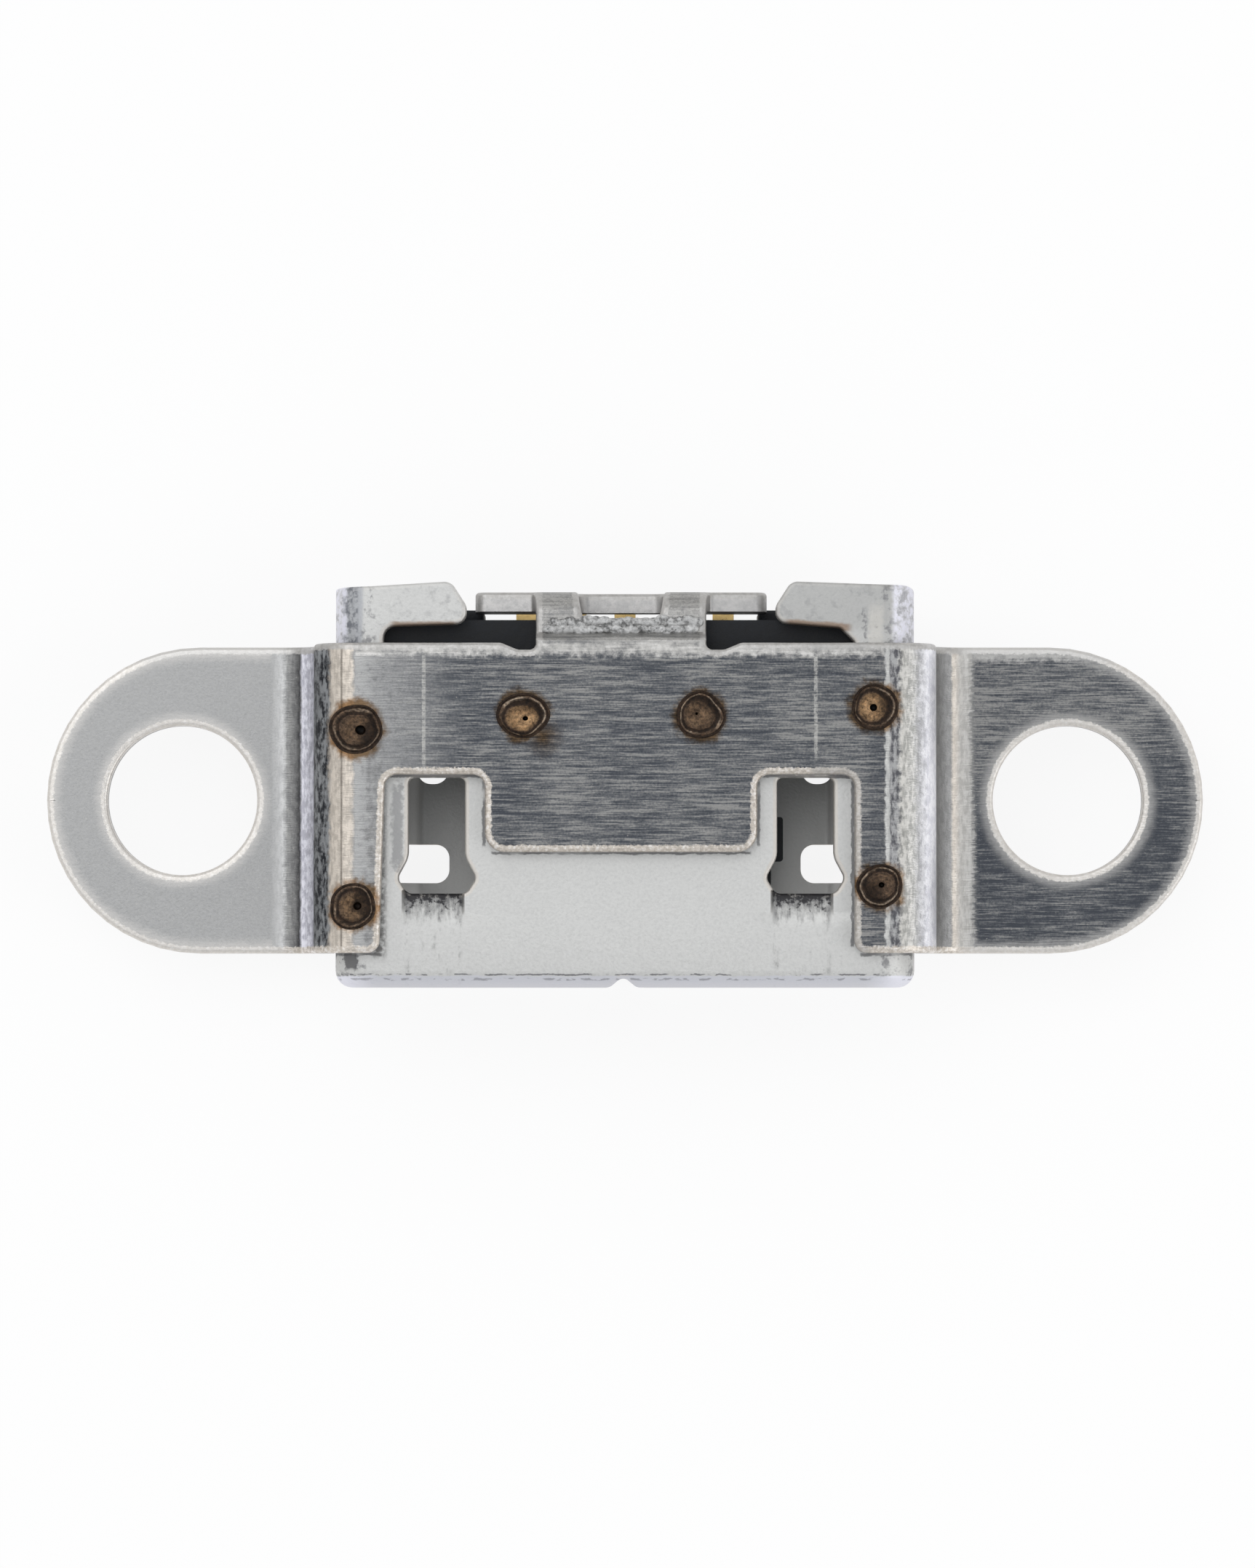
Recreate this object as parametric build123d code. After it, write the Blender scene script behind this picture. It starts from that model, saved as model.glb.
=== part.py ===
from build123d import *

import os

# A phone's micro charging socket with a screw bracket, in millimetres.
# X runs from ear to ear, Y from the mouth to the contact tails, and Z up from the shell's underside.

# Mouth, the space inside the shell that takes the standard plug
mouth_width = 6.9
mouth_height = 1.85
mouth_side = 1.1
mouth_lead_in = 0.06

# Shell, one folded sheet round the mouth
shell_sheet = 0.3
shell_depth = 5.25
shell_bend_inside = 0.15
shell_front_roll = 0.22
notch_width = 0.46
notch_depth = 0.14

# Seam under the shell, where the folded sheet's two edges lock
seam_gap = 0.05
lock_reach = 0.55
lock_neck = 0.5
lock_flare = 0.14
lock_y = -0.5

# Latch windows in the wide wall, and the pressed lead-in in front of each
stamp_shift = -0.05
window_x = 2.38
window_setback = 1.215
window_length = 1.5
window_width = 0.73
window_sill_width = 0.77
window_flare_width = 1.02
window_flare_front = 0.2
window_flare_rear = 0.47
window_corner = 0.05
lead_in_length = 0.46
lead_in_drop = 0.16

# Openings in the narrow wall, a hole under the front of each window and a slot behind it
floor_hole_inner = 2.26
floor_hole_width = 0.79
floor_hole_setback = 1.335
floor_hole_length = 0.51
floor_slot_inner = 2.33
floor_slot_width = 0.42
floor_slot_setback = 2.625
floor_slot_length = 0.9
floor_corner = 0.12

# Rear of the shell: a cut-away over the housing, with a wing left at each side
wing_depth = 0.565
wing_tip_half = 2.0
wing_slant = 0.2
wing_slant_length = 0.31
wing_corner = 0.15
rear_cut_half = 3.07
rear_cut_length = 0.46
tail_gate_half = 2.0
tail_gate_length = 1.12
side_setback = 0.1

# Bracket, one folded strip over the shell with a screw ear at each side
bracket_sheet = 0.25
bracket_depth = 4.0
bracket_setback = 0.805
bracket_clearance = 0.03
bracket_top_bend = 0.52
bracket_foot_bend = 0.4
bracket_edge_roll = 0.06
ear_drop = 1.3
ear_arc_x = 5.55
ear_hole_x = 5.78
ear_hole_width = 1.95

# Cut-out of the bracket round the windows, open to the front
cut_out_width = 1.25
cut_out_margin = 0.03
cut_out_length = 1.0
cut_out_corner = 0.16
leg_corner = 0.15

# Rear tab of the bracket, stepped down and bent into a plate behind the housing
tab_half = 1.1
tab_step_length = 0.14
tab_bend_outside = 0.32
tab_relief_width = 0.45
tab_relief_slant = 0.22
tab_relief_depth = 0.09
tab_hole_half = 0.55
tab_hole_margin = 0.1
tab_hole_drop = 0.45
plate_clearance = 0.11
plate_half = 1.89
plate_low = 1.4
plate_drop = 0.08
plate_corner = 0.14

# Weld spots through the bracket into the shell
weld_radius = 0.28
weld_crater = 0.1
weld_bead = 0.03
weld_crater_depth = 0.06
weld_root = 0.18
weld_places = [
    (-3.47, 0.70),
    (-1.31, 0.88),
    (0.97, 0.88),
    (3.22, 0.98),
    (-3.50, -1.58),
    (3.28, -1.32),
]

# Moulded housing, with the tongue that the plug goes round
housing_clearance = 0.04
housing_setback = 0.485
housing_length = 0.77
tongue_half = 1.9
tongue_setback = 0.955
tongue_thickness = 0.6
tongue_below_ceiling = 0.5
tongue_nose = 0.14
bulge_out = 0.16
bulge_setback = 0.69
bulge_length = 0.58
bulge_height = 0.3
bulge_corner = 0.04
shoulder_half = 2.5
shoulder_length = 0.35
shoulder_height = 1.0

# Contacts under the tongue, bent down to tails at the height of the board
contact_names = ["contact_vbus", "contact_data_minus", "contact_data_plus", "contact_id", "contact_ground"]
contact_pitch = 0.65
contact_width = 0.28
contact_sheet = 0.15
contact_setback = 0.25
contact_proud = 0.02
contact_cover = 0.19
contact_bend = 0.1
tail_length = 0.28

# Places that follow from the sizes above
shell_width = mouth_width + 2 * shell_sheet
shell_height = mouth_height + 2 * shell_sheet
shell_front = -shell_depth / 2
shell_rear = shell_depth / 2
mouth_floor = shell_sheet
mouth_ceiling = shell_sheet + mouth_height
bracket_top = shell_height + bracket_sheet
bracket_wall = shell_width / 2 + bracket_clearance + bracket_sheet
bracket_rear = shell_rear - bracket_setback
bracket_y = bracket_rear - bracket_depth / 2
bracket_front = bracket_rear - bracket_depth
ear_top = bracket_top - ear_drop
window_front = shell_front + window_setback
window_rear = window_front + window_length
lead_in_front = window_front - lead_in_length
cut_out_rear = window_rear + cut_out_margin
wing_front = shell_rear - wing_depth
housing_rear = shell_rear - housing_setback
housing_front = housing_rear - housing_length
tongue_tip = shell_front + tongue_setback
tongue_high = mouth_ceiling - tongue_below_ceiling
tongue_low = tongue_high - tongue_thickness
contact_low = tongue_low - contact_proud
contact_drop_y = housing_rear - contact_cover
plate_front = housing_rear + plate_clearance
plate_rear = plate_front + bracket_sheet
past = 1.0


def upright(plan, low, high):
    """A plan drawn from above, raised from one height to another."""
    return extrude(Pos(0, 0, low) * plan, amount=high - low)


def along_depth(section, front, rear):
    """A section with X across and Z up, run from one depth to another."""
    return extrude(Plane.XZ.offset(-rear) * section, amount=rear - front)


def along_width(section, left, right):
    """A section with Y across and Z up, run from one side to the other."""
    return extrude(Plane.YZ.offset(left) * section, amount=right - left)


def rounded(points, radii):
    """A closed outline through the points, with its own radius at each."""
    return make_face(FilletPolyline(*points, radius=radii, close=True))


def block(left, right, front, rear, low, high):
    """A plain block between six planes, for cutting."""
    middle = ((left + right) / 2, (front + rear) / 2, (low + high) / 2)
    return Pos(*middle) * Box(right - left, rear - front, high - low)


def mouth_section(margin):
    """The mouth seen from the front, grown outwards by a margin, or shrunk where that is negative."""
    half = mouth_width / 2
    shoulder = mouth_ceiling - mouth_side
    narrow = half - (mouth_height - mouth_side)
    points = [
        (-half, mouth_ceiling),
        (half, mouth_ceiling),
        (half, shoulder),
        (narrow, mouth_floor),
        (-narrow, mouth_floor),
        (-half, shoulder),
    ]
    return offset(rounded(points, [shell_bend_inside] * len(points)), amount=margin)


def folded_tube():
    """The shell before any opening is punched, with its front edge rolled over and its mouth eased."""
    tube = along_depth(mouth_section(shell_sheet), shell_front, shell_rear)
    front_edges = tube.faces().sort_by(Axis.Y)[0].edges()
    tube = fillet(front_edges, shell_front_roll)
    tube -= along_depth(mouth_section(0), shell_front - past, shell_rear + past)
    inner_edges = tube.faces().sort_by(Axis.Y)[0].inner_wires()[0].edges()
    return chamfer(inner_edges, mouth_lead_in)


def seam_cut():
    """The gap between the sheet's two edges, with one dovetail that locks them."""
    neck_front = lock_y - lock_neck / 2
    neck_rear = lock_y + lock_neck / 2
    line = Polyline(
        (0, shell_front - past),
        (0, neck_front),
        (lock_reach, neck_front - lock_flare),
        (lock_reach, neck_rear + lock_flare),
        (0, neck_rear),
        (0, shell_rear - tail_gate_length + seam_gap),
    )
    return upright(make_face(offset(line, amount=seam_gap / 2)), -past, mouth_floor + seam_gap)


def window_plan():
    """One latch window: a straight neck that flares towards the mouth."""
    neck = window_width / 2
    flare = window_flare_width / 2
    sill = window_sill_width / 2
    right = [
        (neck, window_rear),
        (neck, window_front + window_flare_rear),
        (flare, window_front + window_flare_front),
        (sill, window_front),
    ]
    left = [(-x, y) for x, y in reversed(right)]
    return rounded(right + left, [window_corner] * 8)


def lead_in_cut():
    """The slot that is sheared free for the pressed lead-in."""
    half = window_sill_width / 2
    rear = window_front + window_corner
    return block(-half, half, lead_in_front, rear, mouth_ceiling - past, shell_height + past)


def lead_in():
    """The lead-in itself, pressed down towards the window."""
    half = window_sill_width / 2
    points = [
        (lead_in_front, shell_height),
        (window_front, shell_height - lead_in_drop),
        (window_front, mouth_ceiling - lead_in_drop),
        (lead_in_front, mouth_ceiling),
    ]
    return along_width(make_face(Polyline(*points, close=True)), -half, half)


def floor_cuts():
    """The openings of the narrow wall: a hole and a slot at each side, and the gate for the tails."""
    hole = Rectangle(floor_hole_width, floor_hole_length)
    hole = fillet(hole.vertices(), floor_corner)
    hole_x = floor_hole_inner + floor_hole_width / 2
    hole_y = shell_front + floor_hole_setback + floor_hole_length / 2
    slot = Rectangle(floor_slot_width, floor_slot_length)
    slot = fillet(slot.vertices(), floor_corner)
    slot_x = floor_slot_inner + floor_slot_width / 2
    slot_y = shell_front + floor_slot_setback + floor_slot_length / 2
    plan = Pos(0, shell_rear) * Rectangle(2 * tail_gate_half, 2 * tail_gate_length)
    for side in (-1, 1):
        plan += Pos(side * hole_x, hole_y) * hole
        plan += Pos(side * slot_x, slot_y) * slot
    return upright(plan, -past, mouth_ceiling - mouth_side)


def rear_cut():
    """What is cut from the wide wall over the housing, so that a wing is left at each side."""
    slant_start = shell_rear - wing_slant_length
    wide = wing_tip_half + wing_slant + wing_slant / wing_slant_length * past
    right = [
        (rear_cut_half, wing_front - rear_cut_length),
        (rear_cut_half, wing_front),
        (wing_tip_half, wing_front),
        (wing_tip_half, slant_start),
        (wide, shell_rear + past),
    ]
    left = [(-x, y) for x, y in reversed(right)]
    radii = [wing_corner] * 4 + [0]
    plan = Pos(stamp_shift, 0) * rounded(right + left, radii + radii[::-1])
    return upright(plan, mouth_ceiling - shell_bend_inside, shell_height + past)


def side_cut():
    """What is cut from the rear of the sides and the narrow wall, which end a little short of the wings."""
    high = mouth_ceiling - shell_bend_inside
    return block(-shell_width, shell_width, shell_rear - side_setback, shell_rear + past, -past, high)


def make_shell():
    """The folded shell with its seam, windows, lead-ins and rear openings."""
    shell = folded_tube() - seam_cut() - floor_cuts() - rear_cut() - side_cut()
    half = notch_width / 2
    notch = make_face(Polyline((-half, 0), (0, notch_depth), (half, 0), close=True))
    shell -= upright(Pos(stamp_shift, shell_front) * notch, -past, shell_height + past)
    for side in (-1, 1):
        place = Pos(side * window_x + stamp_shift, 0)
        shell -= place * upright(window_plan(), mouth_ceiling - past, shell_height + past)
        shell -= place * lead_in_cut()
        shell += place * lead_in()
    return shell


def bracket_line(lift):
    """One surface of the strip seen from the front, from ear to ear, as points with their radii."""
    reach = ear_arc_x + bracket_depth
    wall = bracket_wall - bracket_sheet + lift
    top = bracket_top - bracket_sheet + lift
    ear = ear_top - bracket_sheet + lift
    outside = bracket_top_bend - bracket_sheet + lift
    inside = bracket_foot_bend + bracket_sheet - lift
    right = [((wall, top), outside), ((wall, ear), inside), ((reach, ear), 0)]
    left = [((-x, z), radius) for (x, z), radius in reversed(right)]
    return left + right


def bracket_section():
    """The strip's thickness seen from the front: top, upright and ear on each side."""
    corners = bracket_line(bracket_sheet) + bracket_line(0)[::-1]
    return rounded([point for point, radius in corners], [radius for point, radius in corners])


def cut_out_plan():
    """The opening round both windows: an inverted U, whose middle stands back as a short tongue."""
    outer = window_x + cut_out_width / 2
    inner = window_x - cut_out_width / 2
    right = [
        (inner, cut_out_rear - cut_out_length),
        (inner, cut_out_rear),
        (outer, cut_out_rear),
        (outer, bracket_front - past),
    ]
    left = [(-x, y) for x, y in reversed(right)]
    radii = [cut_out_corner] * 3 + [0]
    return Pos(stamp_shift, 0) * rounded(right + left, radii + radii[::-1])


def strip_plan():
    """The strip seen from above, with round ears, screw holes and bend reliefs."""
    plan = Rectangle(2 * ear_arc_x, bracket_depth)
    for side in (-1, 1):
        plan += Pos(side * ear_arc_x, 0) * Circle(bracket_depth / 2)
    for side in (-1, 1):
        plan -= Pos(side * ear_hole_x, 0) * Circle(ear_hole_width / 2)
    plan = Pos(0, bracket_y) * plan - cut_out_plan()
    legs = plan.vertices().filter_by_position(Axis.Y, bracket_front, bracket_front)
    plan = fillet(legs.filter_by_position(Axis.X, -bracket_wall, bracket_wall), leg_corner)
    outer = tab_half + tab_relief_width
    relief = [
        (tab_half, past),
        (tab_half, -tab_relief_depth),
        (outer - tab_relief_slant, -tab_relief_depth),
        (outer, 0),
        (outer, past),
    ]
    for side in (-1, 1):
        points = [(side * x, y) for x, y in relief]
        plan -= Pos(stamp_shift, bracket_rear) * make_face(Polyline(*points, close=True))
    return plan


def roll_edges(strip, plan):
    """The strip with the upper edge of its outline and holes eased, as a punch leaves it."""
    outline = plan.wires()
    surface = [point for point, radius in bracket_line(bracket_sheet)]
    radii = [radius for point, radius in bracket_line(bracket_sheet)][1:-1]
    top_line = FilletPolyline(*surface, radius=radii)
    chosen = []
    for edge in strip.edges():
        middle = edge @ 0.5
        on_top = Vertex(middle.X, middle.Z, 0).distance_to(top_line) < bracket_sheet / 10
        on_outline = min(Vertex(middle.X, middle.Y, 0).distance_to(wire) for wire in outline)
        if on_top and on_outline < bracket_sheet / 10:
            chosen.append(edge)
    return chamfer(chosen, bracket_edge_roll)


def rear_tab():
    """The tab that steps down one sheet and bends into the plate behind the housing."""
    root = bracket_rear - tab_relief_depth - tab_step_length
    step = bracket_rear + tab_step_length
    low = bracket_top - bracket_sheet
    top = low - bracket_sheet - plate_drop
    hole_low = low - tab_hole_drop
    points = [
        (root, bracket_top),
        (bracket_rear, bracket_top),
        (step, low),
        (plate_rear, low),
        (plate_rear, plate_low),
        (plate_front, plate_low),
        (plate_front, low - bracket_sheet),
        (step - tab_step_length / 2, low - bracket_sheet),
        (bracket_rear - tab_step_length / 2, low),
        (root, low),
    ]
    soft = tab_step_length / 4
    radii = [0, soft, soft, tab_bend_outside, 0, 0, tab_bend_outside - bracket_sheet, soft, soft, 0]
    section = rounded(points, radii)
    tab = along_width(section, -tab_half, tab_half)
    hole_front = plate_front - tab_hole_margin
    hole = block(-tab_hole_half, tab_hole_half, hole_front, plate_rear + past, hole_low, bracket_top)
    plate = Pos(0, (plate_low + top) / 2) * Rectangle(2 * plate_half, top - plate_low)
    plate = fillet(plate.vertices(), plate_corner)
    return Pos(stamp_shift, 0) * (tab + along_depth(plate, plate_front, plate_rear) - hole)


def make_bracket():
    """The bracket: a joggled strip with two screw ears, and the tab behind."""
    plan = strip_plan()
    whole = along_depth(bracket_section(), bracket_front - past, bracket_rear + past)
    strip = whole & upright(plan, ear_top - past, bracket_top + past)
    return roll_edges(strip.solid(), plan) + rear_tab()


def make_weld(place):
    """One weld spot: a plug into the shell, with a raised ring round a small crater on top."""
    root = shell_height - weld_root
    ring = (weld_radius + weld_crater) / 2
    points = [
        (0, root),
        (weld_radius, root),
        (weld_radius, bracket_top),
        (ring, bracket_top + weld_bead),
        (weld_crater, bracket_top),
        (0, bracket_top - weld_crater_depth),
    ]
    section = Plane.XZ * make_face(Polyline(*points, close=True))
    return Pos(place[0], place[1]) * revolve(section, axis=Axis.Z)


def weld_hole(place):
    """The hole that a weld spot fills, from its root up through the bracket."""
    root = shell_height - weld_root
    return upright(Pos(place[0], place[1]) * Circle(weld_radius), root, bracket_top + past)


def make_contact(middle):
    """One contact: a strip under the tongue, bent down inside the housing, with its tail on the board."""
    high = contact_low + contact_sheet
    front = tongue_tip + contact_setback
    drop = contact_drop_y
    end = housing_rear + tail_length
    points = [
        (front, high),
        (drop, high),
        (drop, contact_sheet),
        (end, contact_sheet),
        (end, 0),
        (drop - contact_sheet, 0),
        (drop - contact_sheet, contact_low),
        (front, contact_low),
    ]
    outside = contact_bend + contact_sheet
    section = rounded(points, [0, outside, contact_bend, 0, 0, outside, contact_bend, 0])
    return along_width(section, middle - contact_width / 2, middle + contact_width / 2)


def make_housing(contacts):
    """The moulded housing: a body that fills the shell's rear, and the tongue in the mouth."""
    housing = along_depth(mouth_section(-housing_clearance), housing_front, housing_rear)
    tongue = block(-tongue_half, tongue_half, tongue_tip, housing_rear, tongue_low, tongue_high)
    tip = tongue.faces().sort_by(Axis.Y)[0].edges()
    tongue = chamfer(tip, tongue_nose)
    middle = (tongue_low + tongue_high) / 2
    bulge = Rectangle(2 * (tongue_half + bulge_out), bulge_length)
    bulge_y = tongue_tip + bulge_setback + bulge_length / 2
    bulge = Pos(0, bulge_y) * fillet(bulge.vertices(), bulge_corner)
    bulge = upright(bulge, middle - bulge_height / 2, middle + bulge_height / 2)
    shoulder = block(
        -shoulder_half,
        shoulder_half,
        housing_front - shoulder_length,
        housing_rear,
        middle - shoulder_height / 2,
        middle + shoulder_height / 2,
    )
    housing = housing + tongue + bulge + shoulder
    for contact in contacts:
        housing -= contact
    return housing


os.makedirs("parts", exist_ok=True)

welds = [make_weld(place) for place in weld_places]
shell = make_shell()
bracket = make_bracket()
for place in weld_places:
    shell -= weld_hole(place)
    bracket -= weld_hole(place)
first = -contact_pitch * (len(contact_names) - 1) / 2
contacts = [make_contact(first + number * contact_pitch) for number in range(len(contact_names))]

export_step(shell, "parts/shell.step")
export_step(bracket, "parts/bracket.step")
export_step(Compound(children=welds), "parts/weld_spots.step")
export_step(make_housing(contacts), "parts/housing.step")
for name, contact in zip(contact_names, contacts):
    export_step(contact, "parts/" + name + ".step")
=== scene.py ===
import math
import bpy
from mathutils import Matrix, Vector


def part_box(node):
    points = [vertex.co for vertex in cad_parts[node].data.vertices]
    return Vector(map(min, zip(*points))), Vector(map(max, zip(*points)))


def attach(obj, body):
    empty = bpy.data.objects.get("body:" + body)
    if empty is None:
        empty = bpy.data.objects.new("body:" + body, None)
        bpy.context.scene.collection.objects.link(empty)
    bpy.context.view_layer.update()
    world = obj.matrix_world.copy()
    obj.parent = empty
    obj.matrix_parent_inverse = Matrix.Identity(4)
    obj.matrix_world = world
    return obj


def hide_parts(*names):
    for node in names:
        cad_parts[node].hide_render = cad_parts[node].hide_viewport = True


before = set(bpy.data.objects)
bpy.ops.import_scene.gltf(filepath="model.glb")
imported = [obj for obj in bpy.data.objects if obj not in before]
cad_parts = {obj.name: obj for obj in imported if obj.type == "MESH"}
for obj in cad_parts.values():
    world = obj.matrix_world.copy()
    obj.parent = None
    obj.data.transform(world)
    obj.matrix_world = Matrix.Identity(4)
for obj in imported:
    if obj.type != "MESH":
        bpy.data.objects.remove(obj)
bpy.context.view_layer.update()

from types import SimpleNamespace

import bmesh
import bpy
from bpy.props import FloatProperty, FloatVectorProperty, IntProperty, PointerProperty
from mathutils import Matrix, Vector, noise

bl_info = {
    "name": "Micro charging socket",
    "version": (1, 0, 0),
    "blender": (4, 5, 0),
    "location": "View3D > Sidebar > Socket",
    "description": "Builds the sheets, weld spots, moulding and contacts of a phone's charging socket",
    "category": "Object",
}

# Meshes are worked in millimetres and scaled to metres at the end
MM = 0.001

SHELL_LOW, SHELL_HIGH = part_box("shell")
BRACKET_LOW, BRACKET_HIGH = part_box("bracket")
HOUSING_LOW, HOUSING_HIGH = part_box("housing")

QUARTER = math.pi / 2
EIGHTH = math.pi / 4

# Points of a mesh closer than this are one point
TOUCH = 1e-5

# Rounding of the outlines' lesser corners
TIGHT = 0.08
EASY = 0.1
WIDE = 0.12
BROAD = 0.14

# The stretch of the bracket's flat strip, from its middle, that the folds and their bands take up
FOLD_FROM = 3.3
FOLD_TO = 5.6


def length(name, description, value):
    """A length of the socket that a user may change, given in millimetres."""
    return FloatProperty(name=name, description=description, default=value * MM, unit="LENGTH", precision=6)


def colour(name, description, value):
    """A colour of the socket that a user may change."""
    return FloatVectorProperty(
        name=name, description=description, default=value, size=3, subtype="COLOR", min=0, max=1
    )


class ShellSizes(bpy.types.PropertyGroup):
    sheet: length("Sheet", "Thickness of the shell's sheet", 0.3)
    bend: length("Bend", "Radius inside each fold", 0.15)
    side: length("Upright side", "Upright part of the mouth's side", 1.1)
    front_roll: length("Front roll", "Radius of the rolled front edge", 0.22)
    edge: length("Edge", "Rounding of the punched edges", 0.035)
    rim: length("Rim", "Width of the bright line along the punched edges", 0.03)
    corner: length("Corner", "Rounding of the sheet's small corners", 0.08)
    notch_width: length("Notch width", "Width of the notch in the front edge", 0.35)
    notch_depth: length("Notch depth", "Depth of the notch in the front edge", 0.145)
    notch_shift: length("Notch shift", "How far the notch sits right of the windows' middle", 0.026)
    notch_clear: length("Seam notch", "How much wider and deeper the notch at the seam is", 0.05)
    seam: length("Seam", "Gap between the sheet's two edges", 0.05)
    lock_reach: length("Lock reach", "How far the dovetail reaches over the seam", 0.55)
    lock_neck: length("Lock neck", "Width of the dovetail's neck", 0.5)
    lock_flare: length("Lock flare", "How much the dovetail widens at each side", 0.14)
    lock_y: length("Lock place", "Middle of the dovetail along the seam", -0.5)
    shift: length("Stamping shift", "How far the stamped features stand off the middle", -0.05)
    window_x: length("Window place", "Middle of each latch window from the middle", 2.38)
    window_setback: length("Window setback", "From the front edge to the window", 1.215)
    window_length: length("Window length", "Length of each latch window", 1.5)
    window_width: length("Window width", "Width of each window's neck", 0.73)
    window_sill: length("Window sill", "Width of the window's front edge", 0.77)
    window_flare: length("Window flare", "Width of the window where it is widest", 1.02)
    flare_front: length("Flare front", "From the window's front edge to its widest place", 0.2)
    flare_rear: length("Flare rear", "From the window's front edge to its neck", 0.47)
    lead_in: length("Lead-in length", "Length of the pressed lead-in", 0.46)
    lead_in_drop: length("Lead-in drop", "Depth of the pressed lead-in at the window", 0.15)
    hole_inner: length("Floor hole place", "Inner edge of the floor hole from the middle", 2.32)
    hole_width: length("Floor hole width", "Width of the floor hole, along the sheet", 0.87)
    hole_setback: length("Floor hole setback", "From the front edge to the floor hole", 1.38)
    hole_length: length("Floor hole length", "Length of the floor hole", 0.51)
    slot_inner: length("Floor slot place", "Inner edge of the floor slot from the middle", 2.33)
    slot_width: length("Floor slot width", "Width of the floor slot", 0.42)
    slot_setback: length("Floor slot setback", "From the front edge to the floor slot", 2.69)
    slot_length: length("Floor slot length", "Length of the floor slot", 0.9)
    wing_depth: length("Wing depth", "Depth of the wings at the rear", 0.565)
    wing_half: length("Wing place", "Inner end of each wing from the middle", 2.0)
    wing_slant: length("Wing slant", "How far the wing's end slants", 0.2)
    wing_slant_length: length("Wing slant length", "Length of the slanted end", 0.31)
    wing_corner: length("Wing corner", "Rounding of the wing's corners", 0.15)
    side_setback: length("Side setback", "How far the sides end in front of the wings", 0.1)
    corner_left: length("Left corner", "Where the left wing's outer corner starts, before the side", -0.02)
    corner_right: length("Right corner", "Where the right wing's outer corner starts, before the side", 0.1)
    fall_left: length("Left fall", "How far the left wing's rear edge runs forward", 0.08)
    fall_right: length("Right fall", "How far the right wing's rear edge runs forward", 0.045)
    lean_left: length("Left lean", "How far the left wing's front edge leans, each way", 0.018)
    lean_right: length("Right lean", "How far the right wing's front edge leans, each way", 0.035)
    cut_slant: length("Cut slant", "Length of the slanted end of the right cut", 0.19)
    cut_less: length("Cut less", "How much further in the right cut ends", 0.045)
    lead_in_width: length("Lead-in width", "Width of the pressed lead-in", 0.74)
    lead_in_shift: length("Lead-in shift", "How far the lead-in stands off its window's middle", -0.045)
    cut_half: length("Rear cut", "Half width of the cut over the housing", 3.07)
    cut_length: length("Rear cut length", "Length of the cut over the housing", 0.46)
    gate_half: length("Tail gate", "Half width of the gate for the tails", 2.13)
    gate_length: length("Tail gate length", "Length of the gate for the tails", 1.12)


class BracketSizes(bpy.types.PropertyGroup):
    sheet: length("Sheet", "Thickness of the bracket's sheet", 0.25)
    depth: length("Depth", "Depth of the strip", 4.0)
    clearance: length("Clearance", "Between the bracket's upright and the shell's side", 0.03)
    top_bend: length("Top bend", "Outer radius of the upper fold", 0.52)
    foot_bend: length("Foot bend", "Radius in the corner of the lower fold", 0.4)
    edge: length("Edge", "Rounding of the punched edges", 0.05)
    rim: length("Rim", "Width of the bright band along the punched edges", 0.06)
    ear_drop: length("Ear drop", "From the top down to the ears", 1.3)
    hole_x: length("Ear hole place", "Middle of each screw hole from the middle", 5.78)
    hole_width: length("Ear hole", "Width of each screw hole", 1.95)
    cut_width: length("Cut-out width", "Width of the cut-out round each window", 1.25)
    cut_margin: length("Cut-out margin", "Cut-out's rear edge behind the window", 0.03)
    cut_length: length("Cut-out length", "Length of the cut-out beside the tongue", 1.0)
    cut_corner: length("Cut-out corner", "Rounding of the cut-out's corners", 0.16)
    tongue_corner: length("Tongue corner", "Rounding of the tongue's corners between the windows", 0.26)
    leg_rear: length("Leg rear", "How far out the left leg's inner edge sits at its rear", 0.035)
    leg_front: length("Leg front", "How far out the left leg's inner edge sits at its front", 0.11)
    pinhole: length("Pinhole", "Width of the hole under each weld spot's crater", 0.16)
    tab_half: length("Tab", "Half width of the rear tab", 1.1)
    tab_setback: length("Tab setback", "From the strip's rear edge to where the tab steps down", 0.03)
    tab_step: length("Tab step", "Length over which the tab steps down", 0.12)
    tab_bend: length("Tab bend", "Outer radius where the tab bends down", 0.32)
    relief_width: length("Relief width", "Width of the relief beside the tab", 0.45)
    relief_slant: length("Relief slant", "Length of the relief's slanted side", 0.22)
    relief_depth: length("Relief depth", "Depth of the relief beside the tab", 0.09)
    tab_hole: length("Tab hole", "Half width of the hole over the tab's bend", 0.55)
    tab_hole_margin: length("Tab hole margin", "Hole's front edge before the bend", 0.1)
    tab_hole_drop: length("Tab hole drop", "How far the hole reaches down the plate", 0.45)
    plate_half: length("Plate", "Half width of the plate behind the housing", 1.89)
    plate_low: length("Plate's lower edge", "Height of the plate's lower edge", 1.4)
    plate_drop: length("Plate drop", "Plate's top edge under the tab", 0.08)
    plate_corner: length("Plate corner", "Rounding of the plate's corners", 0.14)


class WeldSizes(bpy.types.PropertyGroup):
    radius: length("Radius", "Radius of a weld spot", 0.31)
    bead: length("Bead", "Height of the raised ring", 0.028)
    crater: length("Crater", "Depth of the crater in the middle", 0.07)
    root: length("Root", "How deep a spot reaches below the bracket's top", 0.2)
    steps: IntProperty(name="Steps", description="Steps round a spot", default=64, min=12)


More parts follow.
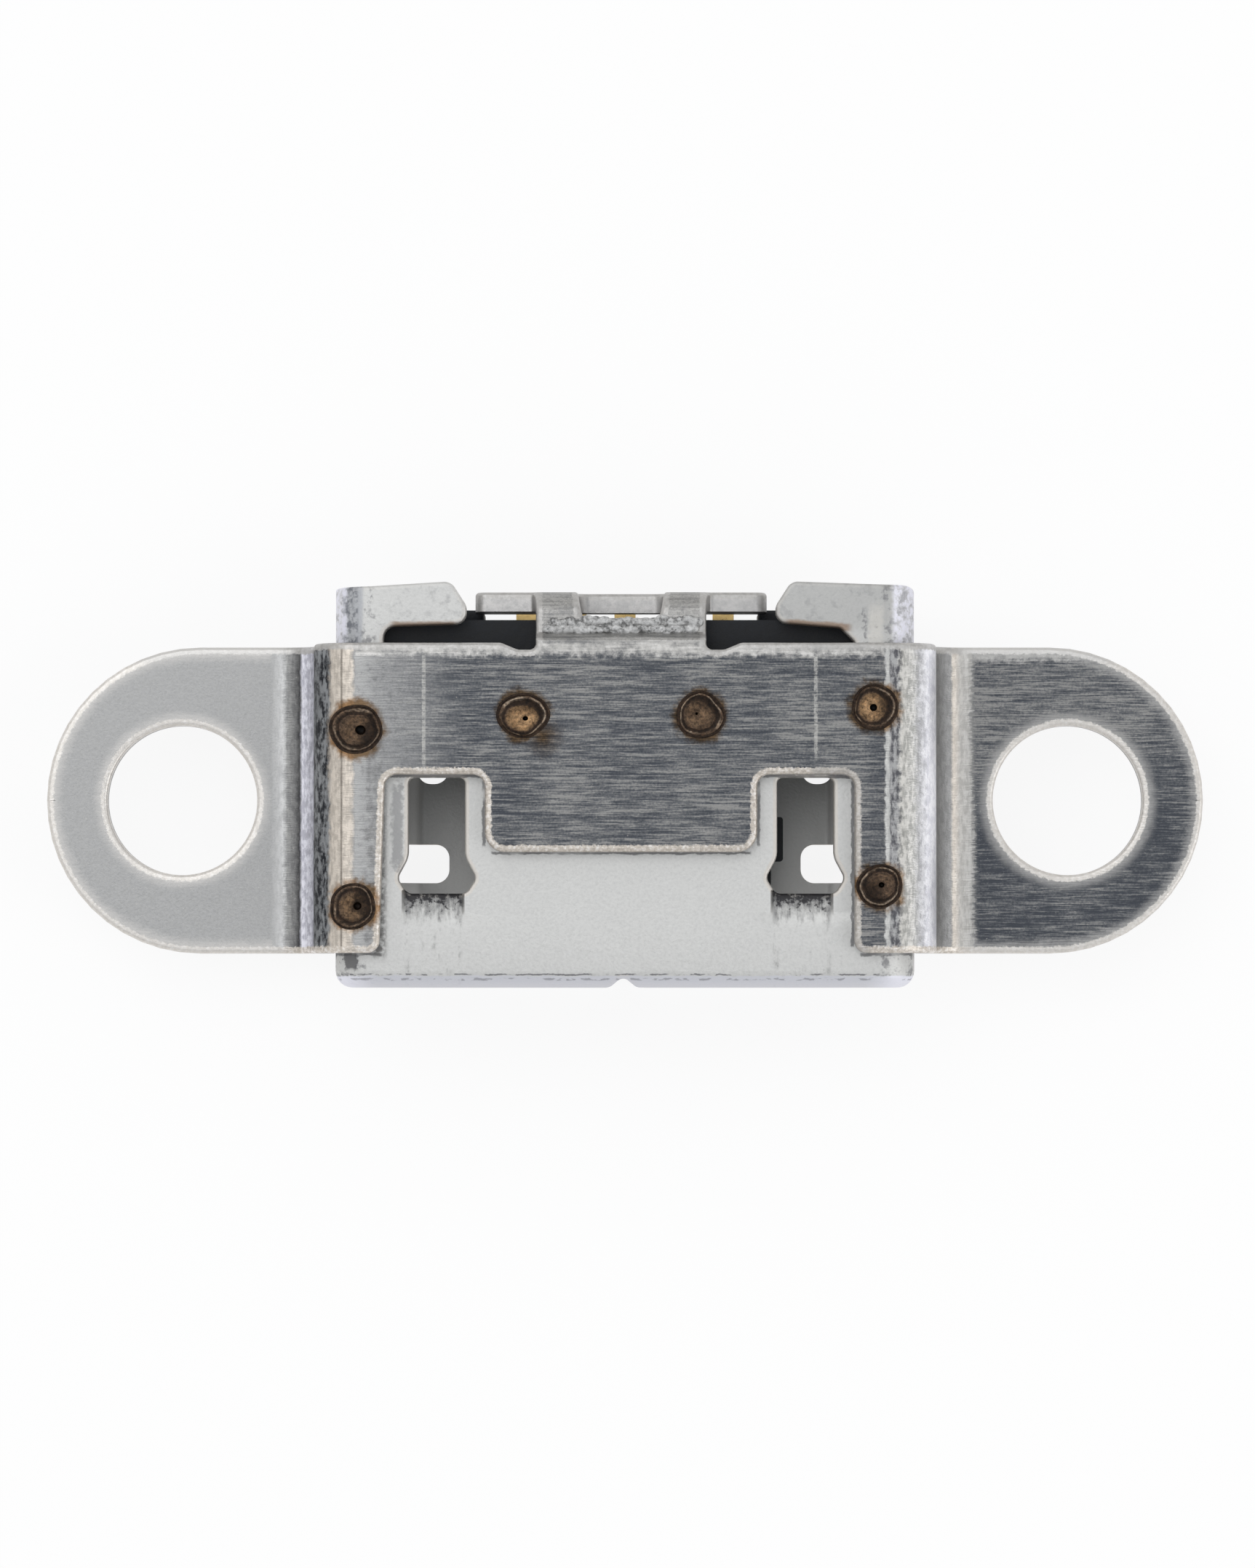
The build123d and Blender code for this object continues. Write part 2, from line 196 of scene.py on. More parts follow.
class Finishes(bpy.types.PropertyGroup):
    shell: colour("Shell", "Matte stamped steel", (0.615, 0.615, 0.602))
    # The lip's cool bright colour is a painted reflection
    lip: colour("Lip", "Rolled front edge", (0.614, 0.623, 0.679))
    dark_brush: colour("Dark brushing", "Dark lines of the brushed strip", (0.058, 0.064, 0.076))
    mid_brush: colour("Middle brushing", "Ground of the brushed strip", (0.130, 0.135, 0.143))
    light_brush: colour("Light brushing", "Light lines of the brushed strip", (0.275, 0.273, 0.265))
    ear: colour("Matte ear", "Ear that the brush didn't reach", (0.375, 0.375, 0.372))
    # The warm bright line of a punched edge is a painted highlight
    edge: colour("Punched edge", "Warm bright line of a punched edge", (0.66, 0.60, 0.53))
    weld: colour("Weld", "Heat-tinted weld metal", (0.080, 0.054, 0.037))
    # A painted highlight on the crest of a weld spot's raised ring
    weld_bright: colour("Weld ring", "Bright ring of a weld spot", (0.36, 0.30, 0.24))
    tan: colour("Weld middle", "Tan middle of the hotter spots", (0.33, 0.215, 0.118))
    moulding: colour("Moulding", "Black moulded housing", (0.006, 0.007, 0.009))
    gold: colour("Gold", "Plating of the contacts", (0.80, 0.58, 0.25))


class CameraPlace(bpy.types.PropertyGroup):
    distance: length("Distance", "From the camera to the top of the bracket", 90.0)
    frame_height: length("Frame height", "Height of the picture at the bracket's top", 20.19)
    aim_x: length("Aim across", "Where the camera looks, across", 0.033)
    aim_y: length("Aim along", "Where the camera looks, along", -0.005)
    elevation: FloatProperty(
        name="Elevation", description="Angle over the floor", default=math.radians(88.3), subtype="ANGLE"
    )


def millimetres(group):
    """The lengths of a settings group in millimetres."""
    sizes = SimpleNamespace()
    for name in type(group).__annotations__:
        value = getattr(group, name)
        setattr(sizes, name, value if isinstance(value, int) else value / MM)
    return sizes


class FoldLine:
    """The inner surface of a folded sheet seen edge on, as straight runs and bends in order."""

    def __init__(self, across, up):
        self.start = Vector((across, up))
        self.runs = []

    def straight(self, run):
        self.runs.append((run, 0.0))

    def bend(self, radius, turn):
        self.runs.append((radius * abs(turn), turn))

    def reach(self, count=None):
        """How long the first runs are, or all of them."""
        return sum(run for run, turn in self.runs[:count])

    def cuts(self, steps):
        """The places along the fold where the flat sheet is cut, so that each bend is round."""
        places = []
        for index, (run, turn) in enumerate(self.runs):
            if turn:
                begin = self.reach(index)
                places += [begin + run * step / steps for step in range(steps + 1)]
        return places

    def at(self, along, lift):
        """The point that lies so far along the fold, and so far out from it."""
        point = self.start.copy()
        heading = 0.0
        for index, (run, turn) in enumerate(self.runs):
            last = index == len(self.runs) - 1
            step = along if last else min(along, run)
            if turn:
                radius = run / turn
                centre = point + radius * Vector((-math.sin(heading), math.cos(heading)))
                heading += turn * step / run
                point = centre - radius * Vector((-math.sin(heading), math.cos(heading)))
            else:
                point = point + step * Vector((math.cos(heading), math.sin(heading)))
            along -= step
            if along <= 0:
                break
        return point + lift * Vector((-math.sin(heading), math.cos(heading)))


def both_sides(right):
    """An outline's right half, followed by its mirror image."""
    return right + [(-x, y, radius) for x, y, radius in reversed(right)]


def moved(corners, across):
    """The same outline, moved across."""
    return [(x + across, y, radius) for x, y, radius in corners]


def draw_outline(bm, corners, segments=10):
    """A closed outline in the flat, from corners of x, y and radius, as edges alone."""
    verts = [bm.verts.new((x, y, 0)) for x, y, radius in corners]
    bm.faces.new(verts)
    count = len(corners)
    for index, vert in enumerate(verts):
        radius = corners[index][2]
        if radius <= 0:
            continue
        here = Vector(corners[index][:2])
        arrive = here - Vector(corners[index - 1][:2])
        leave = Vector(corners[(index + 1) % count][:2]) - here
        bmesh.ops.bevel(
            bm,
            geom=[vert],
            offset=radius * math.tan(arrive.angle(leave) / 2),
            offset_type="OFFSET",
            affect="VERTICES",
            segments=segments,
            profile=0.5,
            material=-1,
        )
    bmesh.ops.delete(bm, geom=bm.faces[:], context="FACES_ONLY")


def fill(bm, edges, up):
    """Faces between closed outlines, holes left open."""
    made = bmesh.ops.triangle_fill(bm, use_beauty=True, use_dissolve=False, edges=edges, normal=(0, 0, up))
    faces = [face for face in made["geom"] if isinstance(face, bmesh.types.BMFace)]
    if len(faces) < len(edges) - 2:
        raise RuntimeError("An outline crosses itself and can't be filled")
    return faces


def border(faces):
    """The edges round a group of faces."""
    inside = set(faces)
    edges = {edge for face in faces for edge in face.edges}
    return [edge for edge in edges if sum(face in inside for face in edge.link_faces) == 1]


def step_in(bm, faces, step, height, mark, layer):
    """Faces drawn in by one step and set to a height, with a mark on their corners."""
    bmesh.ops.inset_region(bm, faces=faces, thickness=step, use_boundary=True, use_even_offset=True)
    for vert in {vert for face in faces for vert in face.verts}:
        vert.co.z = height
        vert[layer] = mark


def refill(bm, faces, up):
    """The same opening filled afresh, so that no face is folded over by the steps before."""
    edges = border(faces)
    bmesh.ops.delete(bm, geom=faces, context="FACES")
    return fill(bm, edges, up)


def raise_sheet(bm, sheet, edge, rim):
    """Turns the outlines into a flat sheet with thickness, its upper edges rounded as a punch leaves them.
    The layer rim is 1 along the rounding, falls to 0 across the rim, and is 2 on the underside's edge."""
    layer = bm.verts.layers.float.new("rim")
    faces = fill(bm, bm.edges[:], 1)
    for vert in bm.verts:
        vert.co.z = sheet - edge
        vert[layer] = 1.0
    steps, done = 5, 0.0
    for step in range(1, steps + 1):
        angle = QUARTER * step / steps
        reach = edge * (1 - math.cos(angle))
        step_in(bm, faces, reach - done, sheet - edge + edge * math.sin(angle), 1.0, layer)
        done = reach
    step_in(bm, faces, rim, sheet, 0.0, layer)
    refill(bm, faces, 1)
    outline = [edge for edge in bm.edges if edge.is_boundary]
    made = bmesh.ops.extrude_edge_only(bm, edges=outline)["geom"]
    lower = [edge for edge in made if isinstance(edge, bmesh.types.BMEdge)]
    for vert in {vert for item in lower for vert in item.verts}:
        vert.co.z = 0.0
        vert[layer] = 2.0
    under = fill(bm, lower, -1)
    step_in(bm, under, edge / 4, 0.0, 0.0, layer)
    refill(bm, under, -1)
    bmesh.ops.recalc_face_normals(bm, faces=bm.faces[:])


def cut_across(bm, places, direction):
    """Cuts the flat sheet at places along a direction, without parting it."""
    for place in places:
        bmesh.ops.bisect_plane(
            bm,
            geom=bm.verts[:] + bm.edges[:] + bm.faces[:],
            dist=TOUCH,
            plane_co=Vector(direction) * place,
            plane_no=direction,
        )


def fold(bm, place):
    """Takes the flat sheet to its folded place, and keeps the flat place in the layer flat."""
    layer = bm.verts.layers.float_vector.new("flat")
    for vert in bm.verts:
        vert[layer] = vert.co
        vert.co = place(*vert.co)


def finish_piece(bm, name, material, nodes, sharp=40):
    """Makes a finished object of a closed mesh worked in millimetres, riding on the root body."""
    if not all(edge.is_manifold for edge in bm.edges):
        raise RuntimeError(f"{name} isn't closed")
    bmesh.ops.scale(bm, vec=(MM, MM, MM), verts=bm.verts[:])
    mesh = bpy.data.meshes.new(name)
    bm.to_mesh(mesh)
    bm.free()
    mesh.shade_smooth()
    mesh.set_sharp_from_angle(angle=math.radians(sharp))
    piece = bpy.data.objects.new(name, mesh)
    bpy.context.scene.collection.objects.link(piece)
    weighted = piece.modifiers.new("Even shading", "WEIGHTED_NORMAL")
    weighted.keep_sharp = True
    mesh.materials.append(material)
    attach(piece, "root")
    if nodes:
        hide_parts(*nodes)


def shell_line(sizes):
    """The inside of the shell seen from the front: wide wall, side, slant and narrow wall."""
    half = SHELL_HIGH.x / MM - sizes.sheet
    height = (SHELL_HIGH.z - SHELL_LOW.z) / MM - 2 * sizes.sheet
    slant = height - sizes.side
    corner = sizes.bend * math.tan(EIGHTH / 2)
    line = FoldLine(0, sizes.sheet + height)
    line.straight(half - sizes.bend)
    line.bend(sizes.bend, -QUARTER)
    line.straight(sizes.side - sizes.bend - corner)
    line.bend(sizes.bend, -EIGHTH)
    line.straight(slant * math.sqrt(2) - 2 * corner)
    line.bend(sizes.bend, -EIGHTH)
    line.straight(half - slant - corner)
    return line


def shell_outline(sizes, half, bend_end, front, rear):
    """The shell's sheet in the flat, with its notch, wings, tail gate and locking edges."""
    wing_front = rear - sizes.wing_depth
    gate = rear - sizes.gate_length
    neck_front = sizes.lock_y - sizes.lock_neck / 2
    neck_rear = sizes.lock_y + sizes.lock_neck / 2
    gap = sizes.seam / 2
    notch = sizes.notch_width / 2
    cut_front = wing_front - sizes.cut_length
    middle = sizes.shift + sizes.notch_shift

    def lock(side):
        edge = half - gap if side > 0 else -(half - gap)
        reach = edge - sizes.lock_reach
        slack = gap if side > 0 else -gap
        return [
            (side * (half - notch - sizes.notch_clear), front, sizes.corner),
            (edge, front + sizes.notch_depth + sizes.notch_clear, sizes.corner),
            (edge, neck_front - slack, sizes.corner),
            (reach, neck_front - sizes.lock_flare - slack, sizes.corner),
            (reach, neck_rear + sizes.lock_flare + slack, sizes.corner),
            (edge, neck_rear + slack, sizes.corner),
            (edge, gate, sizes.corner),
        ]

    def cut_end(side):
        end = side * sizes.cut_half + sizes.shift
        if side < 0:
            return [(end, wing_front - sizes.lean_left, sizes.wing_corner), (end, cut_front, EASY)]
        end -= sizes.cut_less
        lean = wing_front - sizes.lean_right
        slanted = [(end - sizes.cut_slant, lean, EASY), (end, lean - sizes.cut_slant, EASY)]
        return slanted + [(end, cut_front, EASY)]

    def back(side):
        across = side * sizes.wing_half + sizes.shift
        corner, fall, lean = sizes.corner_left, sizes.fall_left, sizes.lean_left
        if side > 0:
            corner, fall, lean = sizes.corner_right, sizes.fall_right, sizes.lean_right
        side_rear = rear - fall - sizes.side_setback
        past_bend = 0.12
        return [
            (side * (half - sizes.gate_half), gate, WIDE),
            (side * (half - sizes.gate_half), side_rear, EASY),
            (side * (bend_end + past_bend), side_rear, TIGHT),
            (side * (bend_end - corner), rear - fall, WIDE),
            (across + side * sizes.wing_slant, rear, sizes.wing_corner),
            (across, rear - sizes.wing_slant_length, sizes.wing_corner),
            (across, wing_front + lean, sizes.wing_corner),
        ] + cut_end(side)

    def half_outline(side):
        return [(side * notch + middle, front, WIDE)] + lock(side) + back(side)

    tip = [(middle, front + sizes.notch_depth, EASY)]
    return tip + half_outline(1) + half_outline(-1)[::-1]


def window_outline(sizes, front):
    """One latch window: a neck that flares towards the mouth."""
    sill = front + sizes.window_setback
    hollow = 0.3
    right = [
        (sizes.window_sill / 2, sill, WIDE),
        (sizes.window_flare / 2, sill + sizes.flare_front, EASY),
        (sizes.window_width / 2, sill + sizes.flare_rear, hollow),
        (sizes.window_width / 2, sill + sizes.window_length, TIGHT),
    ]
    return both_sides(right)


def floor_outlines(sizes, half, front):
    """The floor hole and floor slot of the right side, in the flat."""
    hole_end = half - sizes.hole_inner
    slot_end = half - sizes.slot_inner
    hole_front = front + sizes.hole_setback
    slot_front = front + sizes.slot_setback
    hole_corner, slot_corner = 0.18, 0.19
    hole = [
        (hole_end - sizes.hole_width, hole_front, WIDE),
        (hole_end, hole_front, hole_corner),
        (hole_end, hole_front + sizes.hole_length, hole_corner),
        (hole_end - sizes.hole_width, hole_front + sizes.hole_length, WIDE),
    ]
    slot = [
        (slot_end - sizes.slot_width, slot_front, slot_corner),
        (slot_end, slot_front, slot_corner),
        (slot_end, slot_front + sizes.slot_length, WIDE),
        (slot_end - sizes.slot_width, slot_front + sizes.slot_length, WIDE),
    ]
    return [hole, slot]


def build_shell(sizes, material):
    """The folded shell: punched in the flat, then folded round the mouth."""
    line = shell_line(sizes)
    half = line.reach()
    front = SHELL_LOW.y / MM
    rear = SHELL_HIGH.y / MM
    bm = bmesh.new()
    draw_outline(bm, shell_outline(sizes, half, line.reach(2), front, rear))
    for side in (-1, 1):
        draw_outline(bm, moved(window_outline(sizes, front), side * sizes.window_x + sizes.shift))
        for corners in floor_outlines(sizes, half, front):
            draw_outline(bm, [(side * x, y, radius) for x, y, radius in corners])
    raise_sheet(bm, sizes.sheet, sizes.edge, sizes.rim)

    sill = front + sizes.window_setback
    dent_front = sill - sizes.lead_in
    dent_half = sizes.lead_in_width / 2
    soft = sizes.edge
    folds = line.cuts(8)
    cut_across(bm, folds + [-place for place in folds], (1, 0, 0))
    for side in (-1, 1):
        middle = side * sizes.window_x + sizes.shift + sizes.lead_in_shift
        for across in (dent_half, dent_half + soft):
            cut_across(bm, [middle - across, middle + across], (1, 0, 0))
    roll_steps, dent_steps = 6, 8
    turns = [QUARTER * step / roll_steps for step in range(1, roll_steps + 1)]
    rolls = [front + sizes.front_roll * (1 - math.cos(turn)) for turn in turns]
    dents = [dent_front + sizes.lead_in * step / dent_steps for step in range(dent_steps + 1)]
    cut_across(bm, rolls + dents, (0, 1, 0))

    def place(u, y, w):
        side = math.copysign(1, u)
        depth = y - front
        if depth < sizes.front_roll:
            rest = sizes.front_roll - depth
            lowered = sizes.sheet - sizes.front_roll + math.sqrt(max(sizes.front_roll**2 - rest**2, 0))
            w = w * lowered / sizes.sheet
        middle = side * sizes.window_x + sizes.shift + sizes.lead_in_shift
        inward = abs(u - middle) - dent_half
        if dent_front < y <= sill + soft and inward < soft:
            slope = min((y - dent_front) / sizes.lead_in, 1)
            w -= sizes.lead_in_drop * slope**2 * min(1, (soft - inward) / soft)
        point = line.at(abs(u), w)
        return Vector((side * point.x, y, point.y))

    fold(bm, place)
    finish_piece(bm, "folded_shell", material, ["shell"])


# The float layers of the weld spots' mesh that their finish reads
WELD_LAYERS = ("ring", "tan", "soot", "pale")

# The six weld spots, in millimetres. size and wide scale a spot, hole and lean move its pinhole and its dish
# as shares of its radius, and pit is its pinhole's share. tan, pale and char tint its middle, its ring and
# its dish, pale as a painted highlight, and the pair after tan is the side on which its painted shadow falls
WELDS = [
    SimpleNamespace(
        x=-3.47, y=0.70, size=1.08, wide=1.04, hole=(0.25, 0.0), pit=0.17, lean=(0.02, -0.03),
        tan=0.10, soot=(1, -0.4), pale=0.35, char=0.45,
    ),
    SimpleNamespace(
        x=-1.31, y=0.88, size=1.02, wide=1.10, hole=(0.14, -0.04), pit=0.08, lean=(-0.03, -0.09),
        tan=1.0, soot=(0.5, 0.9), pale=0.95, char=0.1,
    ),
    SimpleNamespace(
        x=0.97, y=0.88, size=1.02, wide=1.02, hole=(-0.10, 0.05), pit=0.03, lean=(-0.06, 0.02),
        tan=0.15, soot=(0.5, 0.9), pale=0.75, char=0.05,
    ),
    SimpleNamespace(
        x=3.22, y=0.98, size=0.99, wide=1.0, hole=(0.02, 0.0), pit=0.13, lean=(-0.08, 0.0),
        tan=0.85, soot=(1, 0.15), pale=0.6, char=0.2,
    ),
    SimpleNamespace(
        x=-3.50, y=-1.58, size=0.96, wide=1.02, hole=(0.24, 0.02), pit=0.15, lean=(0.02, 0.0),
        tan=0.3, soot=(1, 0.3), pale=0.35, char=1.0,
    ),
    SimpleNamespace(
        x=3.28, y=-1.32, size=0.95, wide=1.04, hole=(0.03, 0.03), pit=0.10, lean=(0.05, 0.03),
        tan=0.05, soot=(-0.8, -0.6), pale=0.7, char=0.4,
    ),
]


def build_bracket(sizes, shell, weld_radius, material):
    """The bracket: one strip punched in the flat, then folded down to its ears and behind the housing."""
    sheet = sizes.sheet
    base = BRACKET_HIGH.z / MM - sheet
    wall = SHELL_HIGH.x / MM + sizes.clearance
    inner_top = sizes.top_bend - sheet
    inner_foot = sizes.foot_bend + sheet
    strip = FoldLine(0, base)
    strip.straight(wall - inner_top)
    strip.bend(inner_top, -QUARTER)
    strip.straight(sizes.ear_drop - inner_top - inner_foot)
    strip.bend(inner_foot, QUARTER)
    strip.straight(BRACKET_HIGH.x / MM - wall - inner_foot)
    flat_more = strip.reach() - BRACKET_HIGH.x / MM

    front = BRACKET_LOW.y / MM
    rear = front + sizes.depth
    middle = front + sizes.depth / 2
    plate_front = BRACKET_HIGH.y / MM - sheet
    inner_bend = sizes.tab_bend - sheet
    tab = FoldLine(0, base)
    tab.straight(plate_front - inner_bend)
    tab.bend(inner_bend, -QUARTER)
    drop = base - sheet - inner_bend - sizes.plate_low
    tab.straight(drop)
    bend_end = tab.reach(2)
    plate_top = bend_end + sizes.plate_drop - inner_bend
    hole_end = bend_end + sizes.tab_hole_drop - inner_bend

    bm = bmesh.new()
    shift = shell.shift
    cut_rear = SHELL_LOW.y / MM + shell.window_setback + shell.window_length + sizes.cut_margin
    outer = shell.window_x + sizes.cut_width / 2
    inner = shell.window_x - sizes.cut_width / 2
    ear = strip.reach()
    tab_side = sizes.tab_half
    relief_side = tab_side + sizes.relief_width

    # A little under half the depth, so that an ear's two arcs don't meet in one point
    ear_round = sizes.depth * 0.4999

    def half_outline(side):
        leg_rear, leg_front = (sizes.leg_rear, sizes.leg_front) if side < 0 else (0, 0)
        return [
            (side * inner + shift, cut_rear - sizes.cut_length, sizes.tongue_corner),
            (side * inner + shift, cut_rear, sizes.cut_corner),
            (side * (outer + leg_rear) + shift, cut_rear, sizes.cut_corner),
            (side * (outer + leg_front) + shift, front, sizes.cut_corner),
            (side * ear, front, ear_round),
            (side * ear, rear, ear_round),
            (side * relief_side + shift, rear, BROAD),
            (side * (relief_side - sizes.relief_slant) + shift, rear - sizes.relief_depth, BROAD),
            (side * tab_side + shift, rear - sizes.relief_depth, TIGHT),
            (side * tab_side + shift, plate_top, EASY),
            (side * sizes.plate_half + shift, plate_top, sizes.plate_corner),
            (side * sizes.plate_half + shift, tab.reach(), sizes.plate_corner),
        ]

    draw_outline(bm, half_outline(1) + half_outline(-1)[::-1], 12)
    for side in (-1, 1):
        bmesh.ops.create_circle(
            bm,
            cap_ends=False,
            radius=sizes.hole_width / 2,
            segments=128,
            matrix=Matrix.Translation((side * (sizes.hole_x + flat_more), middle, 0)),
        )
    for spot in WELDS:
        pinhole = Vector((spot.x, spot.y)) + Vector(spot.hole) * spot.size * weld_radius
        bmesh.ops.create_circle(
            bm,
            cap_ends=False,
            radius=sizes.pinhole / 2,
            segments=24,
            matrix=Matrix.Translation((pinhole.x, pinhole.y, 0)),
        )
    hole_front = plate_front - sizes.tab_hole_margin
    hole = both_sides([(sizes.tab_hole, hole_front, BROAD), (sizes.tab_hole, hole_end, BROAD)])
    draw_outline(bm, moved(hole, shift))
    raise_sheet(bm, sheet, sizes.edge, sizes.rim)

    folds = strip.cuts(12)
    cut_across(bm, folds + [-place for place in folds], (1, 0, 0))
    step_front = rear + sizes.tab_setback
    step_count = 6
    steps = [step_front + sizes.tab_step * step / step_count for step in range(step_count + 1)]
    cut_across(bm, steps + tab.cuts(10), (0, 1, 0))

    def place(u, y, w):
        if y > step_front:
            point = tab.at(y, w)
            share = min((y - step_front) / sizes.tab_step, 1)
            eased = share * share * (3 - 2 * share)
            return Vector((u, point.x, point.y - sheet * eased))
        point = strip.at(abs(u), w)
        return Vector((math.copysign(point.x, u), y, point.y))

    fold(bm, place)
    finish_piece(bm, "folded_bracket", material, ["bracket"])


def weld_profile(sizes, pit):
    """Half a weld spot from the side, as shares and heights: root, rings, dish and pinhole."""
    bead = sizes.bead
    return [
        (0.0, -sizes.root),
        (0.97, -sizes.root),
        (1.0, -bead / 2),
        (0.99, bead * 0.15),
        (0.96, bead * 0.4),
        (0.92, bead * 0.5),
        (0.89, bead * 0.3),
        (0.86, bead * 0.65),
        (0.82, bead),
        (0.78, bead * 0.85),
        (0.74, bead * 0.5),
        (0.70, bead * 0.4),
        (0.66, bead * 0.5),
        (0.62, bead * 0.7),
        (0.54, bead * 0.65),
        (0.42, bead * 0.5),
        (pit + 0.12, bead * 0.45),
        (pit + 0.03, bead * 0.35),
        (pit, -sizes.crater * 0.8),
        (0.0, -sizes.crater),
    ]


def shadow_and_char_share(spot, share, facing):
    """How dark a weld spot is painted at a share of its radius: a painted shadow on the facing side, in its
    groove and its dish, with char round its middle.
    """
    groove_start, groove_end, dish_full, charred = 0.6, 0.79, 0.4, 0.55
    if share > groove_end:
        return 0.0
    if share > groove_start:
        return facing
    strength = 0.45 + spot.char * 0.5
    return facing * strength * min(share / dish_full, 1) + spot.char * max(0, 1 - share / charred)


def build_weld(bm, sizes, spot, number, top, layers):
    """One weld spot, spun from its profile and then made uneven."""
    ring, tan, soot, pale = layers
    old = set(bm.verts)
    radius = sizes.radius * spot.size
    verts = [bm.verts.new((share * radius, 0, height)) for share, height in weld_profile(sizes, spot.pit)]
    edges = [bm.edges.new(pair) for pair in zip(verts, verts[1:])]
    bmesh.ops.spin(
        bm,
        geom=verts + edges,
        axis=(0, 0, 1),
        cent=(0, 0, 0),
        angle=2 * math.pi,
        steps=sizes.steps,
        use_merge=True,
    )
    bmesh.ops.remove_doubles(bm, verts=[vert for vert in bm.verts if vert not in old], dist=TOUCH)
    hole = Vector((*spot.hole, 0)) * radius
    lean = Vector((*spot.lean, 0)) * radius
    shadow_side = Vector((*spot.soot, 0)).normalized()
    seed = Vector((number * 7.3, number * 3.1, 0))
    pit_end, plain_from, core = spot.pit * 1.05, 0.2, 0.05
    rim_from, dish_end, ring_top, ring_width = 0.9, 0.62, 0.86, 0.16
    for vert in bm.verts:
        if vert in old:
            continue
        share = vert.co.xy.length / radius
        around = Vector((vert.co.x, vert.co.y, 0)).normalized()
        facing = max(0, around.dot(shadow_side) + 0.15) if share > core else 0.0
        vert[ring] = max(share, plain_from) if share > pit_end else 0.0
        vert[tan] = spot.tan
        vert[pale] = spot.pale
        vert[soot] = shadow_and_char_share(spot, share, facing)
        if vert.co.z > -sizes.root / 2:
            wobble = noise.noise(around * 0.9 + seed) + 0.12 * noise.noise(around * 3.0 + seed)
            grown = 1 + 0.2 * wobble * share * (0.5 if share > rim_from else 1)
            vert.co.x *= grown * spot.wide
            vert.co.y *= grown / spot.wide
            height = noise.noise(vert.co * 7 + seed) + 0.6 * noise.noise(vert.co * 18 + seed)
            vert.co.z += sizes.bead * 0.13 * height
            vert.co += hole * max(0, 1 - share / dish_end)
            vert.co += lean * min(1, max(0, (ring_top - share) / ring_width))
        vert.co += Vector((spot.x, spot.y, top))


def build_welds(sizes, top, material):
    """The six weld spots."""
    bm = bmesh.new()
    for name in WELD_LAYERS:
        bm.verts.layers.float.new(name)
    layers = [bm.verts.layers.float[name] for name in WELD_LAYERS]
    for number, spot in enumerate(WELDS):
        build_weld(bm, sizes, spot, number, top, layers)
    bmesh.ops.recalc_face_normals(bm, faces=bm.faces[:])
    finish_piece(bm, "weld_beads", material, ["weld_spots"], 70)


def build_lumps(sizes, material):
    """Rough lumps of metal along the tab, in front of its hole."""
    bm = bmesh.new()
    tab_top = BRACKET_HIGH.z / MM - sizes.sheet
    row = BRACKET_HIGH.y / MM - sizes.sheet - sizes.tab_hole_margin - 0.1
    count, left, run, size, off_row = 36, -0.98, 1.9, 0.075, 0.05
    dented, roughened = 0.012, 0.01
    flatten = Matrix.Diagonal((1.25, 0.85, 0.42, 1))
    for number in range(count):
        across = left + run * number / (count - 1)
        seed = Vector((number * 5.7, number * 2.3, 1.0))
        radius = size + 0.03 * noise.noise(seed)
        along = row + (off_row if number % 2 else -off_row) + 0.05 * noise.noise(seed * 1.7)
        place = Matrix.Translation((across, along, tab_top)) @ flatten
        made = bmesh.ops.create_icosphere(bm, subdivisions=3, radius=radius, matrix=place)
        for vert in made["verts"]:
            vert.co += vert.co.normalized() * dented * noise.noise(vert.co * 22 + seed)
            vert.co.z += roughened * noise.noise(vert.co * 30 + seed)
    bmesh.ops.recalc_face_normals(bm, faces=bm.faces[:])
    finish_piece(bm, "tab_lumps", material, [], 80)


def build_lugs(shell, material):
    """The moulding's rear corners, low behind the wings' inner ends."""
    bm = bmesh.new()
    across, width, sunk, reach, rounding = 2.0, 0.42, 0.05, 0.17, 0.05
    front, rear = HOUSING_HIGH.y / MM - sunk, HOUSING_HIGH.y / MM + reach
    low, high = HOUSING_LOW.z / MM, 1.34
    stretch = Matrix.Diagonal((width, rear - front, high - low, 1))
    for side in (-1, 1):
        middle = (side * across + shell.shift, (front + rear) / 2, (low + high) / 2)
        made = bmesh.ops.create_cube(bm, size=1, matrix=Matrix.Translation(middle) @ stretch)
        edges = {edge for vert in made["verts"] for edge in vert.link_edges}
        bmesh.ops.bevel(
            bm, geom=list(edges), offset=rounding, affect="EDGES", segments=4, profile=0.5, material=-1
        )
    finish_piece(bm, "housing_lugs", material, [])


def add_node(tree, kind, inputs=None, **settings):
    """A shader node with its settings, and its inputs set or linked."""
    node = tree.nodes.new(kind)
    for name, value in settings.items():
        setattr(node, name, value)
    for name, value in (inputs or {}).items():
        if isinstance(value, bpy.types.NodeSocket):
            tree.links.new(value, node.inputs[name])
        else:
            node.inputs[name].default_value = value
    return node


def new_group(name, inputs, output):
    """An empty shader group with its sockets, and its two end nodes."""
    group = bpy.data.node_groups.new(name, "ShaderNodeTree")
    for label in inputs:
        kind = "NodeSocketVector" if label in ("Vector", "Centre") else "NodeSocketFloat"
        group.interface.new_socket(label, in_out="INPUT", socket_type=kind)
    group.interface.new_socket(output, in_out="OUTPUT", socket_type="NodeSocketFloat")
    return group, group.nodes.new("NodeGroupInput").outputs, group.nodes.new("NodeGroupOutput").inputs[0]


def plain_noise(tree, place, scale, detail, roughness):
    """Noise at a place."""
    inputs = {"Vector": place, "Scale": scale, "Detail": detail, "Roughness": roughness}
    return add_node(tree, "ShaderNodeTexNoise", inputs).outputs["Fac"]


